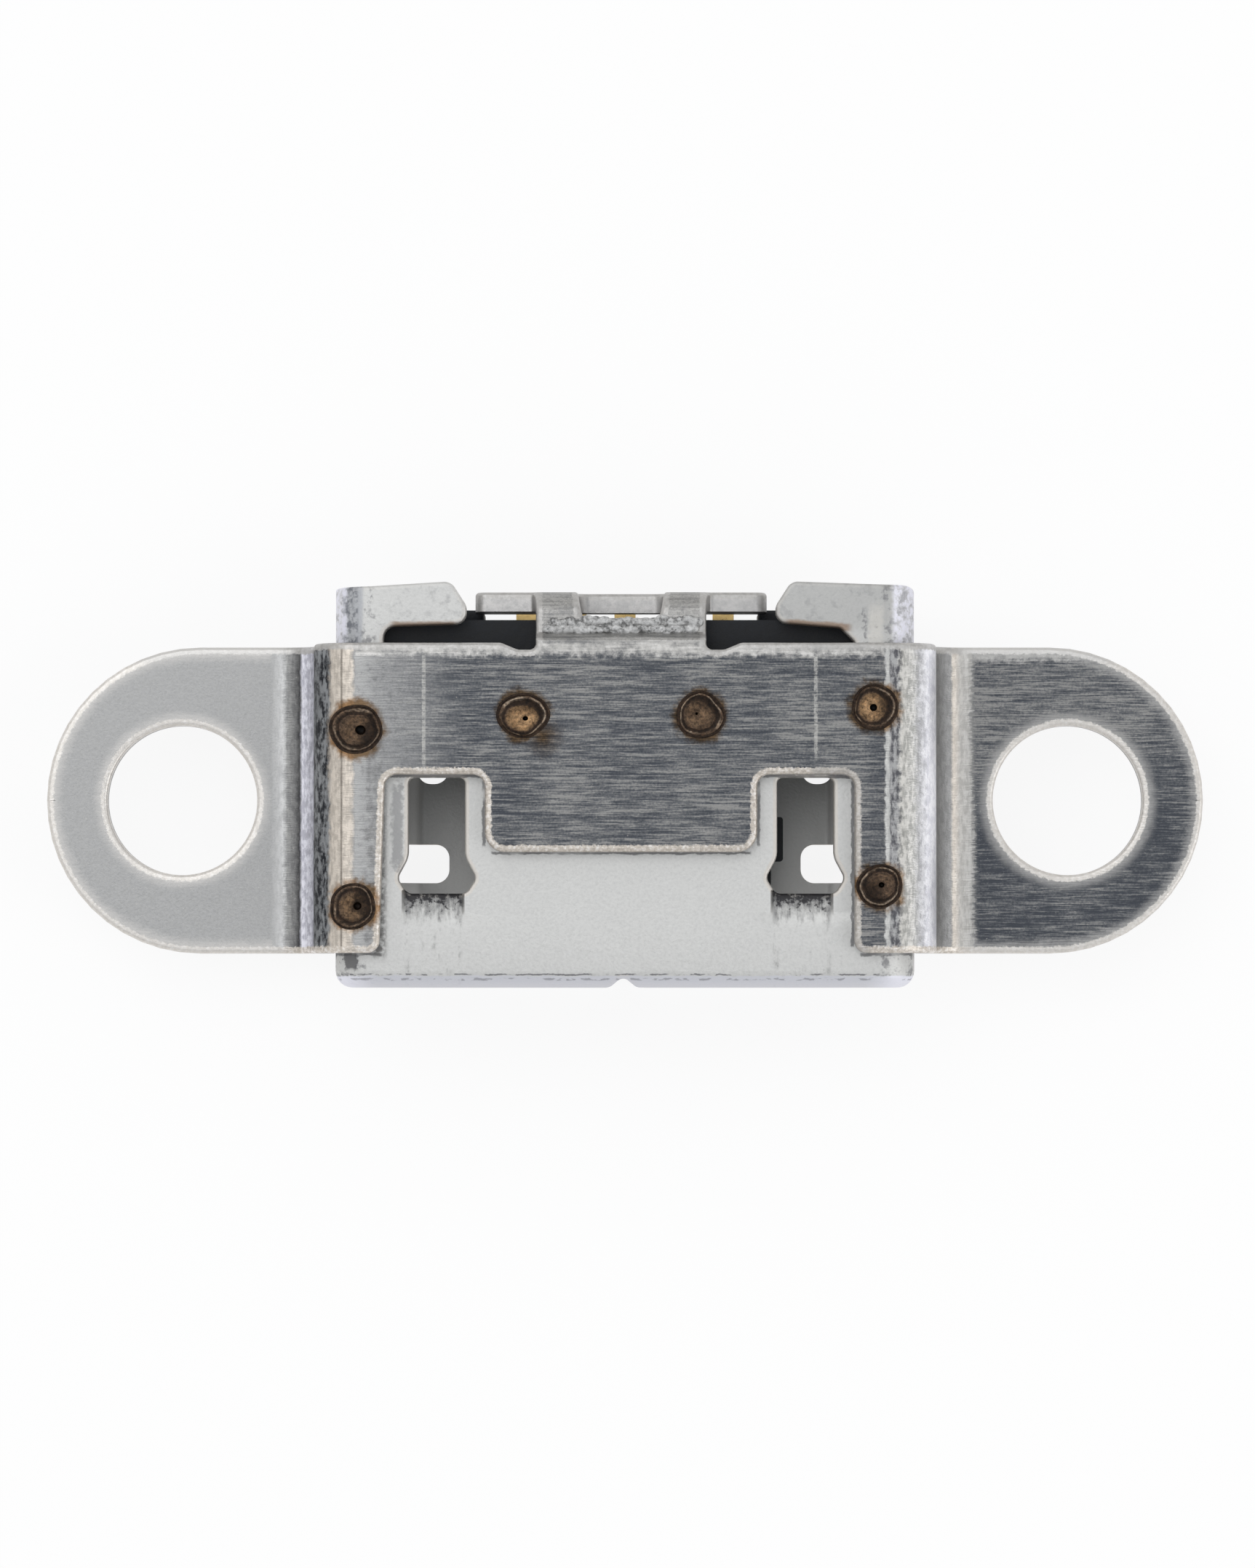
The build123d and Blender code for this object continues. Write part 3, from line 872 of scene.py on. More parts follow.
def streak_group():
    """Brushed lines along X: noise drawn out along the strip."""
    group, start, end = new_group("Brushed lines", ("Vector", "Run", "Fineness", "Detail"), "Value")
    fineness = start["Fineness"]
    stretch = add_node(group, "ShaderNodeCombineXYZ", {0: start["Run"], 1: fineness, 2: fineness}).outputs[0]
    drawn = add_node(group, "ShaderNodeVectorMath", {0: start["Vector"], 1: stretch}, operation="MULTIPLY")
    group.links.new(plain_noise(group, drawn.outputs[0], 1.0, start["Detail"], 0.6), end)
    return group


def speckle_group():
    """Fine even grain."""
    group, start, end = new_group("Sheet grain", ("Vector", "Fineness"), "Value")
    group.links.new(plain_noise(group, start["Vector"], start["Fineness"], 3.0, 0.65), end)
    return group


def rim_group():
    """Where the painted highlight along a punched edge shows: strong on the rounding, broken up across the
    rim.
    """
    group, start, end = new_group("Punched rim", ("Vector", "Rim", "Break"), "Mask")
    broken = ragged(group, start["Rim"], plain_noise(group, start["Vector"], 20.0, 3.0, 0.7), start["Break"])
    group.links.new(reach_between(group, broken, 0.2, 0.6), end)
    return group


def heat_group():
    """The stain round one weld spot, uneven and fading outwards."""
    group, start, end = new_group("Heat stain", ("Vector", "Centre", "Inner", "Outer"), "Mask")
    ends = {0: start["Vector"], 1: start["Centre"]}
    away = add_node(group, "ShaderNodeVectorMath", ends, operation="DISTANCE").outputs["Value"]
    uneven = ragged(group, away, plain_noise(group, start["Vector"], 5.0, 4.0, 0.7), 0.3)
    group.links.new(reach_between(group, uneven, start["Outer"], start["Inner"]), end)
    return group


def use_group(tree, group, inputs):
    """A group placed in a material."""
    return add_node(tree, "ShaderNodeGroup", inputs, node_tree=group).outputs[0]


def grain_noise(tree, groups, place, fineness):
    """Even grain."""
    return use_group(tree, groups["grain"], {"Vector": place, "Fineness": fineness})


def streak_noise(tree, groups, place, run, fineness, detail):
    """Lines along X, long where run is small and thin where fineness is large."""
    inputs = {"Vector": place, "Run": run, "Fineness": fineness, "Detail": detail}
    return use_group(tree, groups["streaks"], inputs)


def ramp(tree, value, stops):
    """Colours picked by a value, from stops of place and colour."""
    node = add_node(tree, "ShaderNodeValToRGB", {"Fac": value})
    elements = node.color_ramp.elements
    while len(elements) < len(stops):
        elements.new(0.5)
    for element, (place, tint) in zip(elements, stops):
        element.position = place
        element.color = (*tint, 1.0)
    return node.outputs["Color"]


def mix(tree, share, below, above, blend="MIX"):
    """One colour laid over another by a share."""
    node = add_node(tree, "ShaderNodeMix", data_type="RGBA", blend_type=blend)
    for socket, value in ((node.inputs[0], share), (node.inputs[6], below), (node.inputs[7], above)):
        if isinstance(value, bpy.types.NodeSocket):
            tree.links.new(value, socket)
        elif isinstance(value, float):
            socket.default_value = value
        else:
            socket.default_value = (*value, 1.0)
    return node.outputs[2]


def reach_between(tree, value, low, high):
    """0 below one value and 1 above another, eased between."""
    inputs = {"Value": value, "From Min": low, "From Max": high}
    return add_node(tree, "ShaderNodeMapRange", inputs, interpolation_type="SMOOTHSTEP").outputs[0]


def reach_linear(tree, value, low, high):
    """0 below one value and 1 above another, even between."""
    inputs = {"Value": value, "From Min": low, "From Max": high}
    return add_node(tree, "ShaderNodeMapRange", inputs).outputs[0]


def maths(tree, operation, *values):
    """The outcome of one operation on values."""
    return add_node(tree, "ShaderNodeMath", dict(enumerate(values)), operation=operation).outputs[0]


def new_material(name, metallic, roughness):
    """A material with its shader, and the place on the piece in millimetres."""
    material = bpy.data.materials.new(name)
    material.use_nodes = True
    tree = material.node_tree
    shader = tree.nodes["Principled BSDF"]
    shader.inputs["Metallic"].default_value = metallic
    shader.inputs["Roughness"].default_value = roughness
    place = {0: add_node(tree, "ShaderNodeTexCoord").outputs["Object"], "Scale": 1 / MM}
    scaled = add_node(tree, "ShaderNodeVectorMath", place, operation="SCALE").outputs[0]
    return material, tree, shader, scaled


def bump(tree, shader, height, distance):
    """Fine relief on a shader, with its depth in millimetres."""
    node = add_node(tree, "ShaderNodeBump", {"Height": height, "Distance": distance * MM, "Strength": 1.0})
    tree.links.new(node.outputs[0], shader.inputs["Normal"])


def coat(tree, shader, tint, grain, share, least):
    """Joins a colour to a shader, and a roughness that grows from the least by a share of grain."""
    tree.links.new(tint, shader.inputs["Base Color"])
    tree.links.new(maths(tree, "MULTIPLY_ADD", grain, share, least), shader.inputs["Roughness"])


def ragged(tree, value, grain, amount):
    """A value pushed up and down by grain, so that what it bounds is ragged."""
    return maths(tree, "MULTIPLY_ADD", maths(tree, "SUBTRACT", grain, 0.5), amount, value)


def band(tree, value, low, high, soft):
    """1 between two values, falling to 0 outside them."""
    rise = reach_between(tree, value, low - soft, low)
    drop = reach_between(tree, value, high + soft, high)
    return maths(tree, "MULTIPLY", rise, drop)


def shade(tint, share):
    """A colour made darker or lighter."""
    return tuple(min(value * share, 1) for value in tint)


def grey(value):
    """An even grey."""
    return (value, value, value)


def times(tree, *values):
    """Values multiplied together."""
    product, *rest = values
    for value in rest:
        product = maths(tree, "MULTIPLY", product, value)
    return product


def largest(tree, values):
    """The largest of several values."""
    most, *rest = values
    for value in rest:
        most = maths(tree, "MAXIMUM", most, value)
    return most


def raised(tree, value, by, share):
    """A value raised by a share of another."""
    return maths(tree, "MULTIPLY_ADD", by, share, value)


def blended(tree, first, second, share):
    """Two values in one, the first with the share and the second with the rest of it."""
    return raised(tree, times(tree, second, 1 - share), first, share)


def lay(tree, under, mask, share, tint, blend="MIX"):
    """A colour laid over another as far as a mask and a share let it."""
    return mix(tree, times(tree, mask, share), under, tint, blend)


def strips(tree, places, soft):
    """Narrow strips together, each between two values one way and two the other way."""
    return largest(tree, [
        times(tree, band(tree, across, low, high, soft), band(tree, along, start, end, soft * 3))
        for across, low, high, along, start, end in places
    ])


def sheet_places(tree, place):
    """Where a point of a folded sheet lies, folded and in the flat, in millimetres."""
    folded = add_node(tree, "ShaderNodeSeparateXYZ", {0: place}).outputs
    flat = add_node(tree, "ShaderNodeAttribute", attribute_name="flat").outputs["Vector"]
    flat = add_node(tree, "ShaderNodeSeparateXYZ", {0: flat}).outputs
    return SimpleNamespace(
        x=folded["X"],
        y=folded["Y"],
        z=folded["Z"],
        flat_x=flat["X"],
        along=maths(tree, "ABSOLUTE", flat["X"]),
        through=flat["Z"],
        rim=add_node(tree, "ShaderNodeAttribute", attribute_name="rim").outputs["Fac"],
    )


# Where the shell's marks lie, in millimetres. A pair runs from nothing to full, or from side to side
SHELL_MARKS = SimpleNamespace(
    top=(1.8, 2.0),
    right_half=(0.0, 1.0),
    bend=(3.26, 3.52),
    rear=(1.85, 2.1),
    edge_fade=(2.75, 1.6),
    streak_x=(-2.98, -2.90),
    streak_y=(-1.0, -0.1),
    dirt=0.03,
    dirt_inset=0.1,
    wing=(1.75, 1.82),
    wing_lean=(2.1, 3.0),
    singed_x=(2.2, 2.9),
    bluish_x=(-3.62, -3.42),
    mottled_x=(-3.58, -3.46),
    left_fold=(-3.57, -3.63),
    right_fold=(3.42, 3.50),
    warm_x=(3.20, 3.28),
    warm_y=(1.9, 2.15),
    smudge_x=(3.09, 3.12),
    smudge_y=(1.85, 2.2),
    lip=0.165,
    lip_corner=(3.1, 3.6),
    grime_x=(-3.62, -3.46),
    grime_y=(-2.36, -2.21),
    skin=(0.06, 0.02),
    slant=(4.40, 5.42),
)

# The shell's painted shade, shadows, highlights and reflections, with its dirt, stains and wear
SHELL_TINTS = SimpleNamespace(
    worn=(0.2, 0.2, 0.21),
    haze=(0.12, 0.12, 0.125),
    smudge=(0.035, 0.035, 0.04),
    streak=(0.22, 0.22, 0.225),
    dirt=(0.09, 0.09, 0.095),
    shaded=(0.12, 0.115, 0.11),
    singed=(0.25, 0.15, 0.085),
    bluish=(0.33, 0.35, 0.40),
    mottled=(0.13, 0.14, 0.16),
    pale_fold=(0.82, 0.82, 0.91),
    warm=(0.72, 0.69, 0.63),
    beside=(0.16, 0.16, 0.17),
    lip_corner=(0.84, 0.84, 0.92),
    crease=(0.08, 0.08, 0.095),
    grime=(0.08, 0.08, 0.085),
    slant=(0.78, 0.78, 0.77),
)


def shell_ground(tree, base, at, noises):
    """The shell's steel: even grain, duller at the right rear, and specked at its bends and its rear."""
    ground = ramp(tree, noises.grain, [(0.3, shade(base, 0.9)), (0.5, base), (0.7, shade(base, 1.07))])
    ground = lay(tree, ground, noises.broad, 0.3, shade(base, 0.9))
    at_rear = reach_between(tree, at.y, *SHELL_MARKS.rear)
    right_rear = times(tree, at_rear, reach_between(tree, at.x, *SHELL_MARKS.right_half))
    ground = lay(tree, ground, right_rear, 0.42, shade(base, 0.45))
    at_bend = band(tree, at.along, *SHELL_MARKS.bend, 0.08)
    worn = largest(tree, [times(tree, at_bend, 0.75), times(tree, at_rear, 0.25)])
    specks = reach_between(tree, noises.coarse, 0.5, 0.68)
    return lay(tree, ground, specks, worn, SHELL_TINTS.worn)


def lead_in_shade_and_smudges(tree, toned, sizes, at, noises):
    """Painted shade with black smudges in the pressed lead-ins, darkest towards the sill and drawn out
    towards the mouth, and where they make the steel rough.
    """
    sill = SHELL_LOW.y / MM + sizes.window_setback
    half = sizes.lead_in_width / 2
    middles = [side * sizes.window_x + sizes.shift + sizes.lead_in_shift for side in (-1, 1)]
    off_middles = [maths(tree, "ABSOLUTE", maths(tree, "SUBTRACT", at.x, middle)) for middle in middles]
    off_lead = ragged(tree, maths(tree, "MINIMUM", *off_middles), noises.coarse, 0.05)
    in_lead = times(
        tree,
        reach_between(tree, off_lead, half + 0.03, half - 0.02),
        at.upper,
        reach_between(tree, at.y, sill + 0.06, sill + 0.04),
    )
    near_sill = reach_linear(tree, at.y, sill - 0.45, sill)
    at_edge = reach_between(tree, off_lead, half - 0.1, half)

    smeared = raised(tree, blended(tree, noises.drawn, noises.coarse, 0.6), near_sill, 0.34)
    smeared = raised(tree, smeared, at_edge, 0.07)
    # Painted shade in the lead-in's dip, as haze and as clotted black smudges, darkest towards the sill
    haze = times(tree, reach_between(tree, smeared, 0.52, 0.88), in_lead)
    toned = lay(tree, toned, haze, 0.8, SHELL_TINTS.haze)
    clotted = raised(tree, blended(tree, noises.clots, noises.drawn, 0.75), near_sill, 0.42)
    shade_and_smudges = times(tree, reach_between(tree, clotted, 0.78, 0.88), in_lead)
    toned = lay(tree, toned, shade_and_smudges, 0.9, SHELL_TINTS.smudge)
    return toned, largest(tree, [haze, shade_and_smudges])


def edge_shadows_and_dirt(tree, toned, sizes, bracket, at, noises):
    """A painted shadow with dirt along the bracket's edges, a darker streak beside the left window and a
    painted shaded strip by the left leg.
    """
    marks = SHELL_MARKS
    streak_x = ragged(tree, at.x, noises.clots, 0.16)
    streak_y = ragged(tree, at.y, noises.clots, 0.5)
    streak = strips(tree, [(streak_x, *marks.streak_x, streak_y, *marks.streak_y)], 0.06)
    toned = lay(tree, toned, streak, 0.65, SHELL_TINTS.streak)

    outer = sizes.window_x + bracket.cut_width / 2
    inner = sizes.window_x - bracket.cut_width / 2
    cut_rear = SHELL_LOW.y / MM + sizes.window_setback + sizes.window_length + bracket.cut_margin
    tongue = cut_rear - bracket.cut_length
    leg = BRACKET_LOW.y / MM
    wide, inset = marks.dirt, marks.dirt_inset
    exact = (at.off_middle, at.side, at.y)
    off_middle, side, y = (ragged(tree, value, noises.coarse, 0.07) for value in exact)
    # Painted shadow, with dirt, where the bracket's edges stand over the shell
    dirt = strips(
        tree,
        [
            (off_middle, outer - wide, outer, at.y, leg + inset, cut_rear - inset),
            (side, inner, inner + wide, at.y, tongue + inset, cut_rear - inset),
            (y, cut_rear - wide, cut_rear, at.side, inner, outer),
            (y, tongue - wide * 0.7, tongue, at.side, -1.0, inner - inset),
            (y, leg - wide, leg, at.side, outer + inset, SHELL_HIGH.x / MM),
        ],
        0.012,
    )
    dirt = times(tree, dirt, at.upper, reach_between(tree, noises.broad, 0.3, 0.5))
    toned = lay(tree, toned, dirt, 0.75, SHELL_TINTS.dirt)

    # Painted shade: a darker strip on the shell beside the left leg
    off_leg = ragged(tree, at.off_middle, noises.clots, 0.16)
    shaded = times(
        tree,
        band(tree, off_leg, -outer - 0.16, -outer - 0.06, 0.07),
        band(tree, at.y, leg + 0.05, cut_rear - 0.2, 0.2),
        at.upper,
        reach_between(tree, noises.clots, 0.30, 0.62),
    )
    return lay(tree, toned, shaded, 0.85, SHELL_TINTS.shaded)


def wing_marks(tree, toned, sizes, at, noises):
    """The wings: singed along the front, with pale and bluish painted reflections on the folds and mottled
    painted shade beside them.
    """
    marks, tints = SHELL_MARKS, SHELL_TINTS
    coarse, clots = noises.coarse, noises.clots
    wing_front = SHELL_HIGH.y / MM - sizes.wing_depth
    leaning = raised(tree, at.y, reach_linear(tree, at.x, *marks.wing_lean), 2 * sizes.lean_right)
    leaning = raised(tree, leaning, reach_between(tree, at.x, *marks.right_half), -sizes.lean_right)
    leaning = ragged(tree, leaning, coarse, 0.06)
    singed = strips(tree, [(leaning, wing_front - 0.04, wing_front + 0.02, at.side, *marks.singed_x)], 0.04)
    toned = lay(tree, toned, times(tree, singed, at.upper), 0.7, tints.singed)

    # On the folds: a bluish painted reflection, mottled painted shade and a pale painted reflection
    on_wing = reach_between(tree, at.y, *marks.wing)
    wavy = ragged(tree, at.x, coarse, 0.1)
    bluish = times(tree, band(tree, wavy, *marks.bluish_x, 0.06), on_wing)
    toned = lay(tree, toned, bluish, 0.5, tints.bluish)
    blotches = reach_between(tree, coarse, 0.40, 0.58)
    mottled = times(tree, band(tree, wavy, *marks.mottled_x, 0.03), on_wing, blotches)
    toned = lay(tree, toned, mottled, 0.7, tints.mottled)
    left_fold = reach_between(tree, ragged(tree, at.x, coarse, 0.08), *marks.left_fold)
    right_fold = reach_between(tree, ragged(tree, at.x, coarse, 0.12), *marks.right_fold)
    pale_fold = times(tree, largest(tree, [left_fold, right_fold]), on_wing)
    clouded = maths(tree, "MULTIPLY_ADD", reach_between(tree, coarse, 0.62, 0.40), 0.6, 0.25)
    toned = lay(tree, toned, pale_fold, clouded, tints.pale_fold)

    streaky = ragged(tree, ragged(tree, at.x, coarse, 0.14), clots, 0.12)
    wavy = ragged(tree, at.y, coarse, 0.3)
    warm = times(tree, band(tree, streaky, *marks.warm_x, 0.09), band(tree, wavy, *marks.warm_y, 0.25))
    toned = lay(tree, toned, warm, 0.4, tints.warm)
    beside = times(
        tree,
        band(tree, streaky, *marks.smudge_x, 0.03),
        band(tree, at.y, *marks.smudge_y, 0.12),
        reach_between(tree, clots, 0.40, 0.58),
    )
    return lay(tree, toned, beside, 0.6, tints.beside)


def lip_marks(tree, toned, lip_tint, at, noises):
    """The rolled lip: a cool bright painted reflection, with a broken line of painted shade along the crease
    above it and grime at its left end.
    """
    marks, tints = SHELL_MARKS, SHELL_TINTS
    coarse, clots = noises.coarse, noises.clots
    start = SHELL_LOW.y / MM + marks.lip
    wavy = ragged(tree, at.y, coarse, 0.05)
    lip = reach_between(tree, wavy, start, start - 0.03)
    toned = lay(tree, toned, lip, 0.8, lip_tint)
    corner = times(tree, lip, reach_between(tree, at.side, *marks.lip_corner))
    toned = lay(tree, toned, corner, 0.7, tints.lip_corner)

    # Painted shade along the crease where the roll begins, in broken dashes
    faint = times(tree, band(tree, wavy, start - 0.065, start - 0.05, 0.012), 0.6)
    crease = largest(tree, [faint, band(tree, wavy, start, start + 0.008, 0.01)])
    patchy = blended(tree, noises.broad, noises.dashes, 0.25)
    crease = times(tree, crease, reach_between(tree, patchy, 0.49, 0.56))
    toned = lay(tree, toned, crease, 0.75, tints.crease)
    grime_x = ragged(tree, ragged(tree, at.x, coarse, 0.12), clots, 0.1)
    grime_y = ragged(tree, ragged(tree, at.y, coarse, 0.08), clots, 0.06)
    grime = strips(tree, [(grime_x, *marks.grime_x, grime_y, *marks.grime_y)], 0.02)
    return lay(tree, toned, times(tree, grime, at.upper), 0.8, tints.grime)


def shell_material(finishes, sizes, bracket, groups):
    """Matte stamped steel, with painted highlights on its punched edges, a cool painted reflection on the
    rolled lip and rough lead-ins darkened with painted shade.
    """
    material, tree, shader, place = new_material("Stamped steel", 0.75, 0.5)
    noises = SimpleNamespace(
        grain=grain_noise(tree, groups, place, 26.0),
        clots=grain_noise(tree, groups, place, 13.0),
        coarse=grain_noise(tree, groups, place, 8.0),
        broad=grain_noise(tree, groups, place, 1.3),
        drawn=streak_noise(tree, groups, place, 19.0, 5.0, 5.0),
        dashes=streak_noise(tree, groups, place, 7.0, 14.0, 2.0),
    )
    at = sheet_places(tree, place)
    at.off_middle = maths(tree, "SUBTRACT", at.x, sizes.shift)
    at.side = maths(tree, "ABSOLUTE", at.off_middle)
    at.upper = reach_between(tree, at.z, *SHELL_MARKS.top)

    toned = shell_ground(tree, finishes.shell, at, noises)
    # A painted highlight along the shell's punched edges, fading towards the rear
    rim = use_group(tree, groups["rim"], {"Vector": place, "Rim": at.rim, "Break": 0.9})
    rim = times(tree, rim, reach_linear(tree, at.y, *SHELL_MARKS.edge_fade))
    toned = lay(tree, toned, rim, 0.45, finishes.edge)
    toned, rough_patch = lead_in_shade_and_smudges(tree, toned, sizes, at, noises)
    toned = edge_shadows_and_dirt(tree, toned, sizes, bracket, at, noises)
    toned = wing_marks(tree, toned, sizes, at, noises)
    toned = lip_marks(tree, toned, finishes.lip, at, noises)

    # Inside, the skin is darkened as painted shade. The slant catches less light than the wall beside it, so
    # its skin is kept paler as painted light
    inner_skin = reach_between(tree, at.through, *SHELL_MARKS.skin)
    on_slant = times(tree, inner_skin, band(tree, at.along, *SHELL_MARKS.slant, 0.2))
    toned = lay(tree, toned, inner_skin, 0.5, shade(finishes.shell, 0.6))
    toned = lay(tree, toned, on_slant, 0.8, SHELL_TINTS.slant)
    tree.links.new(maths(tree, "MULTIPLY_ADD", on_slant, -0.65, 0.75), shader.inputs["Metallic"])
    coat(tree, shader, toned, noises.grain, 0.2, 0.42)
    bump(tree, shader, raised(tree, noises.grain, rough_patch, times(tree, noises.coarse, 3.0)), 0.004)
    return material


# Where the bracket's marks lie, in millimetres. A pair runs from nothing to full, or from side to side
BRACKET_MARKS = SimpleNamespace(
    right_ear=(3.9, 4.5),
    ear_front=(0.8, -1.2),
    ear_rear=(-0.5, 1.2),
    right_leg=(2.45, 3.1),
    leg_rear=(0.9, 0.5),
    left_fade=(-1.9, -3.5),
    left_leg=(-3.15, -3.5),
    left_leg_end=(-4.3, -4.2),
    left_ear=(-4.4, -4.5),
    rear_band=(1.60, 1.72),
    worn_x=(-3.28, -3.17),
    worn_y=(1.0, 0.7),
    ears=(4.3, 4.5),
    ear_rims=(4.2, 4.6),
    left_bands=(3.49, 5.50),
    right_bands=(3.30, 5.41),
    right_bands_edge=(3.36, 5.54),
    hairline=(3.580, 3.588),
    behind=(1.55, 1.68),
    tab=(1.80, 1.86),
    scribed_half=0.016,
    scribed_rear=1.57,
)

# Values of the layer rim between which a rounding gives way to the cut wall under it
WALL_RIM = (1.08, 1.25)

# The bracket's painted highlights along its edges and round its ears, its dirt, wear and cut edges
BRACKET_TINTS = SimpleNamespace(
    rear_middle=(0.47, 0.46, 0.44),
    rear_light=(0.68, 0.665, 0.64),
    # Painted highlights round the ears
    glow=(0.40, 0.395, 0.385),
    left_glow=(0.56, 0.545, 0.525),
    hairline=(0.11, 0.095, 0.08),
    # Painted highlights along the punched edges, paler on the ears and greyer on the right leg
    edge_light=(0.86, 0.82, 0.78),
    ear_edge=(0.76, 0.745, 0.72),
    leg_edge=(0.36, 0.355, 0.345),
    sheared_dark=grey(0.24),
    sheared_light=(0.40, 0.39, 0.38),
    sheared_behind=(0.56, 0.55, 0.54),
    scribed=(0.55, 0.54, 0.51),
    heat=(0.43, 0.26, 0.125),
)


def left_bands(ear, cream):
    """Painted highlights, reflections and shade across the left fold, each band at its place in the flat
    with its dark and its light colour.
    """
    cream_pair = (shade(cream, 0.72), cream)
    lavender_pair = ((0.56, 0.56, 0.63), (0.92, 0.92, 1.0))
    return [
        (3.48, shade(ear, 0.8), ear),
        (3.52, *cream_pair),
        (3.66, *cream_pair),
        (3.69, (0.015, 0.017, 0.022), (0.26, 0.27, 0.28)),
        (3.90, (0.02, 0.022, 0.026), (0.26, 0.27, 0.28)),
        (3.98, shade(ear, 0.7), shade(ear, 0.9)),
        (4.30, shade(ear, 0.8), ear),
        (4.40, *lavender_pair),
        (4.96, *lavender_pair),
        (5.02, (0.05, 0.05, 0.055), grey(0.09)),
        (5.12, grey(0.15), grey(0.21)),
        (5.30, grey(0.24), (0.31, 0.31, 0.30)),
        (5.38, shade(ear, 1.25), shade(ear, 1.55)),
        (5.54, ear, ear),
    ]


def right_bands(middle, light):
    """Painted highlights, reflections and shade across the right fold, each band at its place in the flat
    with its dark and its light colour.
    """
    first_pair = ((0.45, 0.45, 0.44), (0.6, 0.6, 0.58))
    dark_pair = ((0.1, 0.1, 0.11), grey(0.4))
    lavender_pair = ((0.78, 0.78, 0.84), (0.96, 0.96, 1.0))
    return [
        (3.34, middle, light),
        (3.36, *first_pair),
        (3.40, *first_pair),
        (3.42, *dark_pair),
        (3.51, *dark_pair),
        (3.54, (0.40, 0.395, 0.37), (0.70, 0.68, 0.64)),
        (3.62, (0.36, 0.36, 0.35), (0.62, 0.61, 0.59)),
        (3.66, (0.36, 0.36, 0.37), (0.50, 0.50, 0.51)),
        (3.74, *lavender_pair),
        (3.88, *lavender_pair),
        (4.00, grey(0.38), grey(0.46)),
        (4.30, grey(0.25), grey(0.31)),
        (5.04, grey(0.27), grey(0.34)),
        (5.09, (0.52, 0.48, 0.43), (0.66, 0.61, 0.55)),
        (5.16, (0.56, 0.52, 0.475), (0.70, 0.655, 0.60)),
        (5.24, (0.50, 0.485, 0.46), (0.64, 0.62, 0.585)),
        (5.42, (0.42, 0.41, 0.39), (0.56, 0.55, 0.53)),
        (5.52, middle, light),
    ]


def fold_share(place):
    """A place along the flat strip, as a share of the stretch that is folded."""
    return (place - FOLD_FROM) / (FOLD_TO - FOLD_FROM)


def bands(tree, along, pick, stops):
    """Strips of painted light and shade across the folded sheet, each mottled between two colours."""
    dark = ramp(tree, along, [(fold_share(place), low) for place, low, high in stops])
    light = ramp(tree, along, [(fold_share(place), high) for place, low, high in stops])
    return mix(tree, pick, dark, light)


def brushed_lines(tree, at, noises):
    """The brushing: wide and fine lines with some grain, darker or lighter in places."""
    lines = raised(tree, times(tree, noises.fine, 0.50), noises.wide, 0.26)
    lines = raised(tree, lines, noises.grain, 0.24)
    lines = ragged(tree, lines, noises.broad, 0.2)
    on_ear = reach_between(tree, at.x, *BRACKET_MARKS.right_ear)
    on_leg = times(tree, at.on_leg, reach_between(tree, at.y, *BRACKET_MARKS.leg_rear))
    front = times(tree, on_ear, reach_between(tree, at.y, *BRACKET_MARKS.ear_front))
    rear = times(tree, on_ear, reach_between(tree, at.y, *BRACKET_MARKS.ear_rear))
    for mask, lift in ((front, -0.045), (rear, 0.02), (on_leg, 0.02)):
        lines = raised(tree, lines, mask, lift)
    return lines


def bracket_ground(tree, finishes, at, noises):
    """Brushed steel that turns matte to the left, with painted shade beside the left leg and a rough pale
    band along the rear.
    """
    marks, ear = BRACKET_MARKS, finishes.ear
    coarse = noises.coarse
    brushes = [(0.415, finishes.dark_brush), (0.5, finishes.mid_brush), (0.585, finishes.light_brush)]
    brushed = ramp(tree, noises.lines, brushes)
    matte = ramp(tree, noises.grain, [(0.3, shade(ear, 0.86)), (0.5, ear), (0.7, shade(ear, 1.12))])
    spotted = lay(tree, matte, reach_between(tree, coarse, 0.56, 0.72), 0.4, shade(ear, 0.4))

    rough_x = ragged(tree, at.x, coarse, 0.5)
    ground = lay(tree, brushed, reach_between(tree, rough_x, *marks.left_fade), 0.75, spotted)
    paler = times(
        tree, reach_between(tree, rough_x, *marks.left_leg), reach_between(tree, at.x, *marks.left_leg_end)
    )
    ground = lay(tree, ground, paler, 0.5, shade(ear, 1.3))
    dark, middle, light = shade(ear, 0.65), BRACKET_TINTS.rear_middle, BRACKET_TINTS.rear_light
    rear_noise = blended(tree, noises.wide, coarse, 0.5)
    rear_tone = ramp(tree, rear_noise, [(0.38, dark), (0.5, middle), (0.62, light)])
    ground = lay(tree, ground, at.rear_edge, 0.85, rear_tone)
    # Painted shade: a ragged darker strip beside the left leg's edge
    worn = times(
        tree,
        band(tree, ragged(tree, at.x, coarse, 0.12), *marks.worn_x, 0.12),
        reach_between(tree, at.y, *marks.worn_y),
        reach_between(tree, coarse, 0.36, 0.64),
    )
    ground = lay(tree, ground, worn, 0.4, shade(ear, 0.4))
    return mix(tree, at.left_ear, ground, matte)


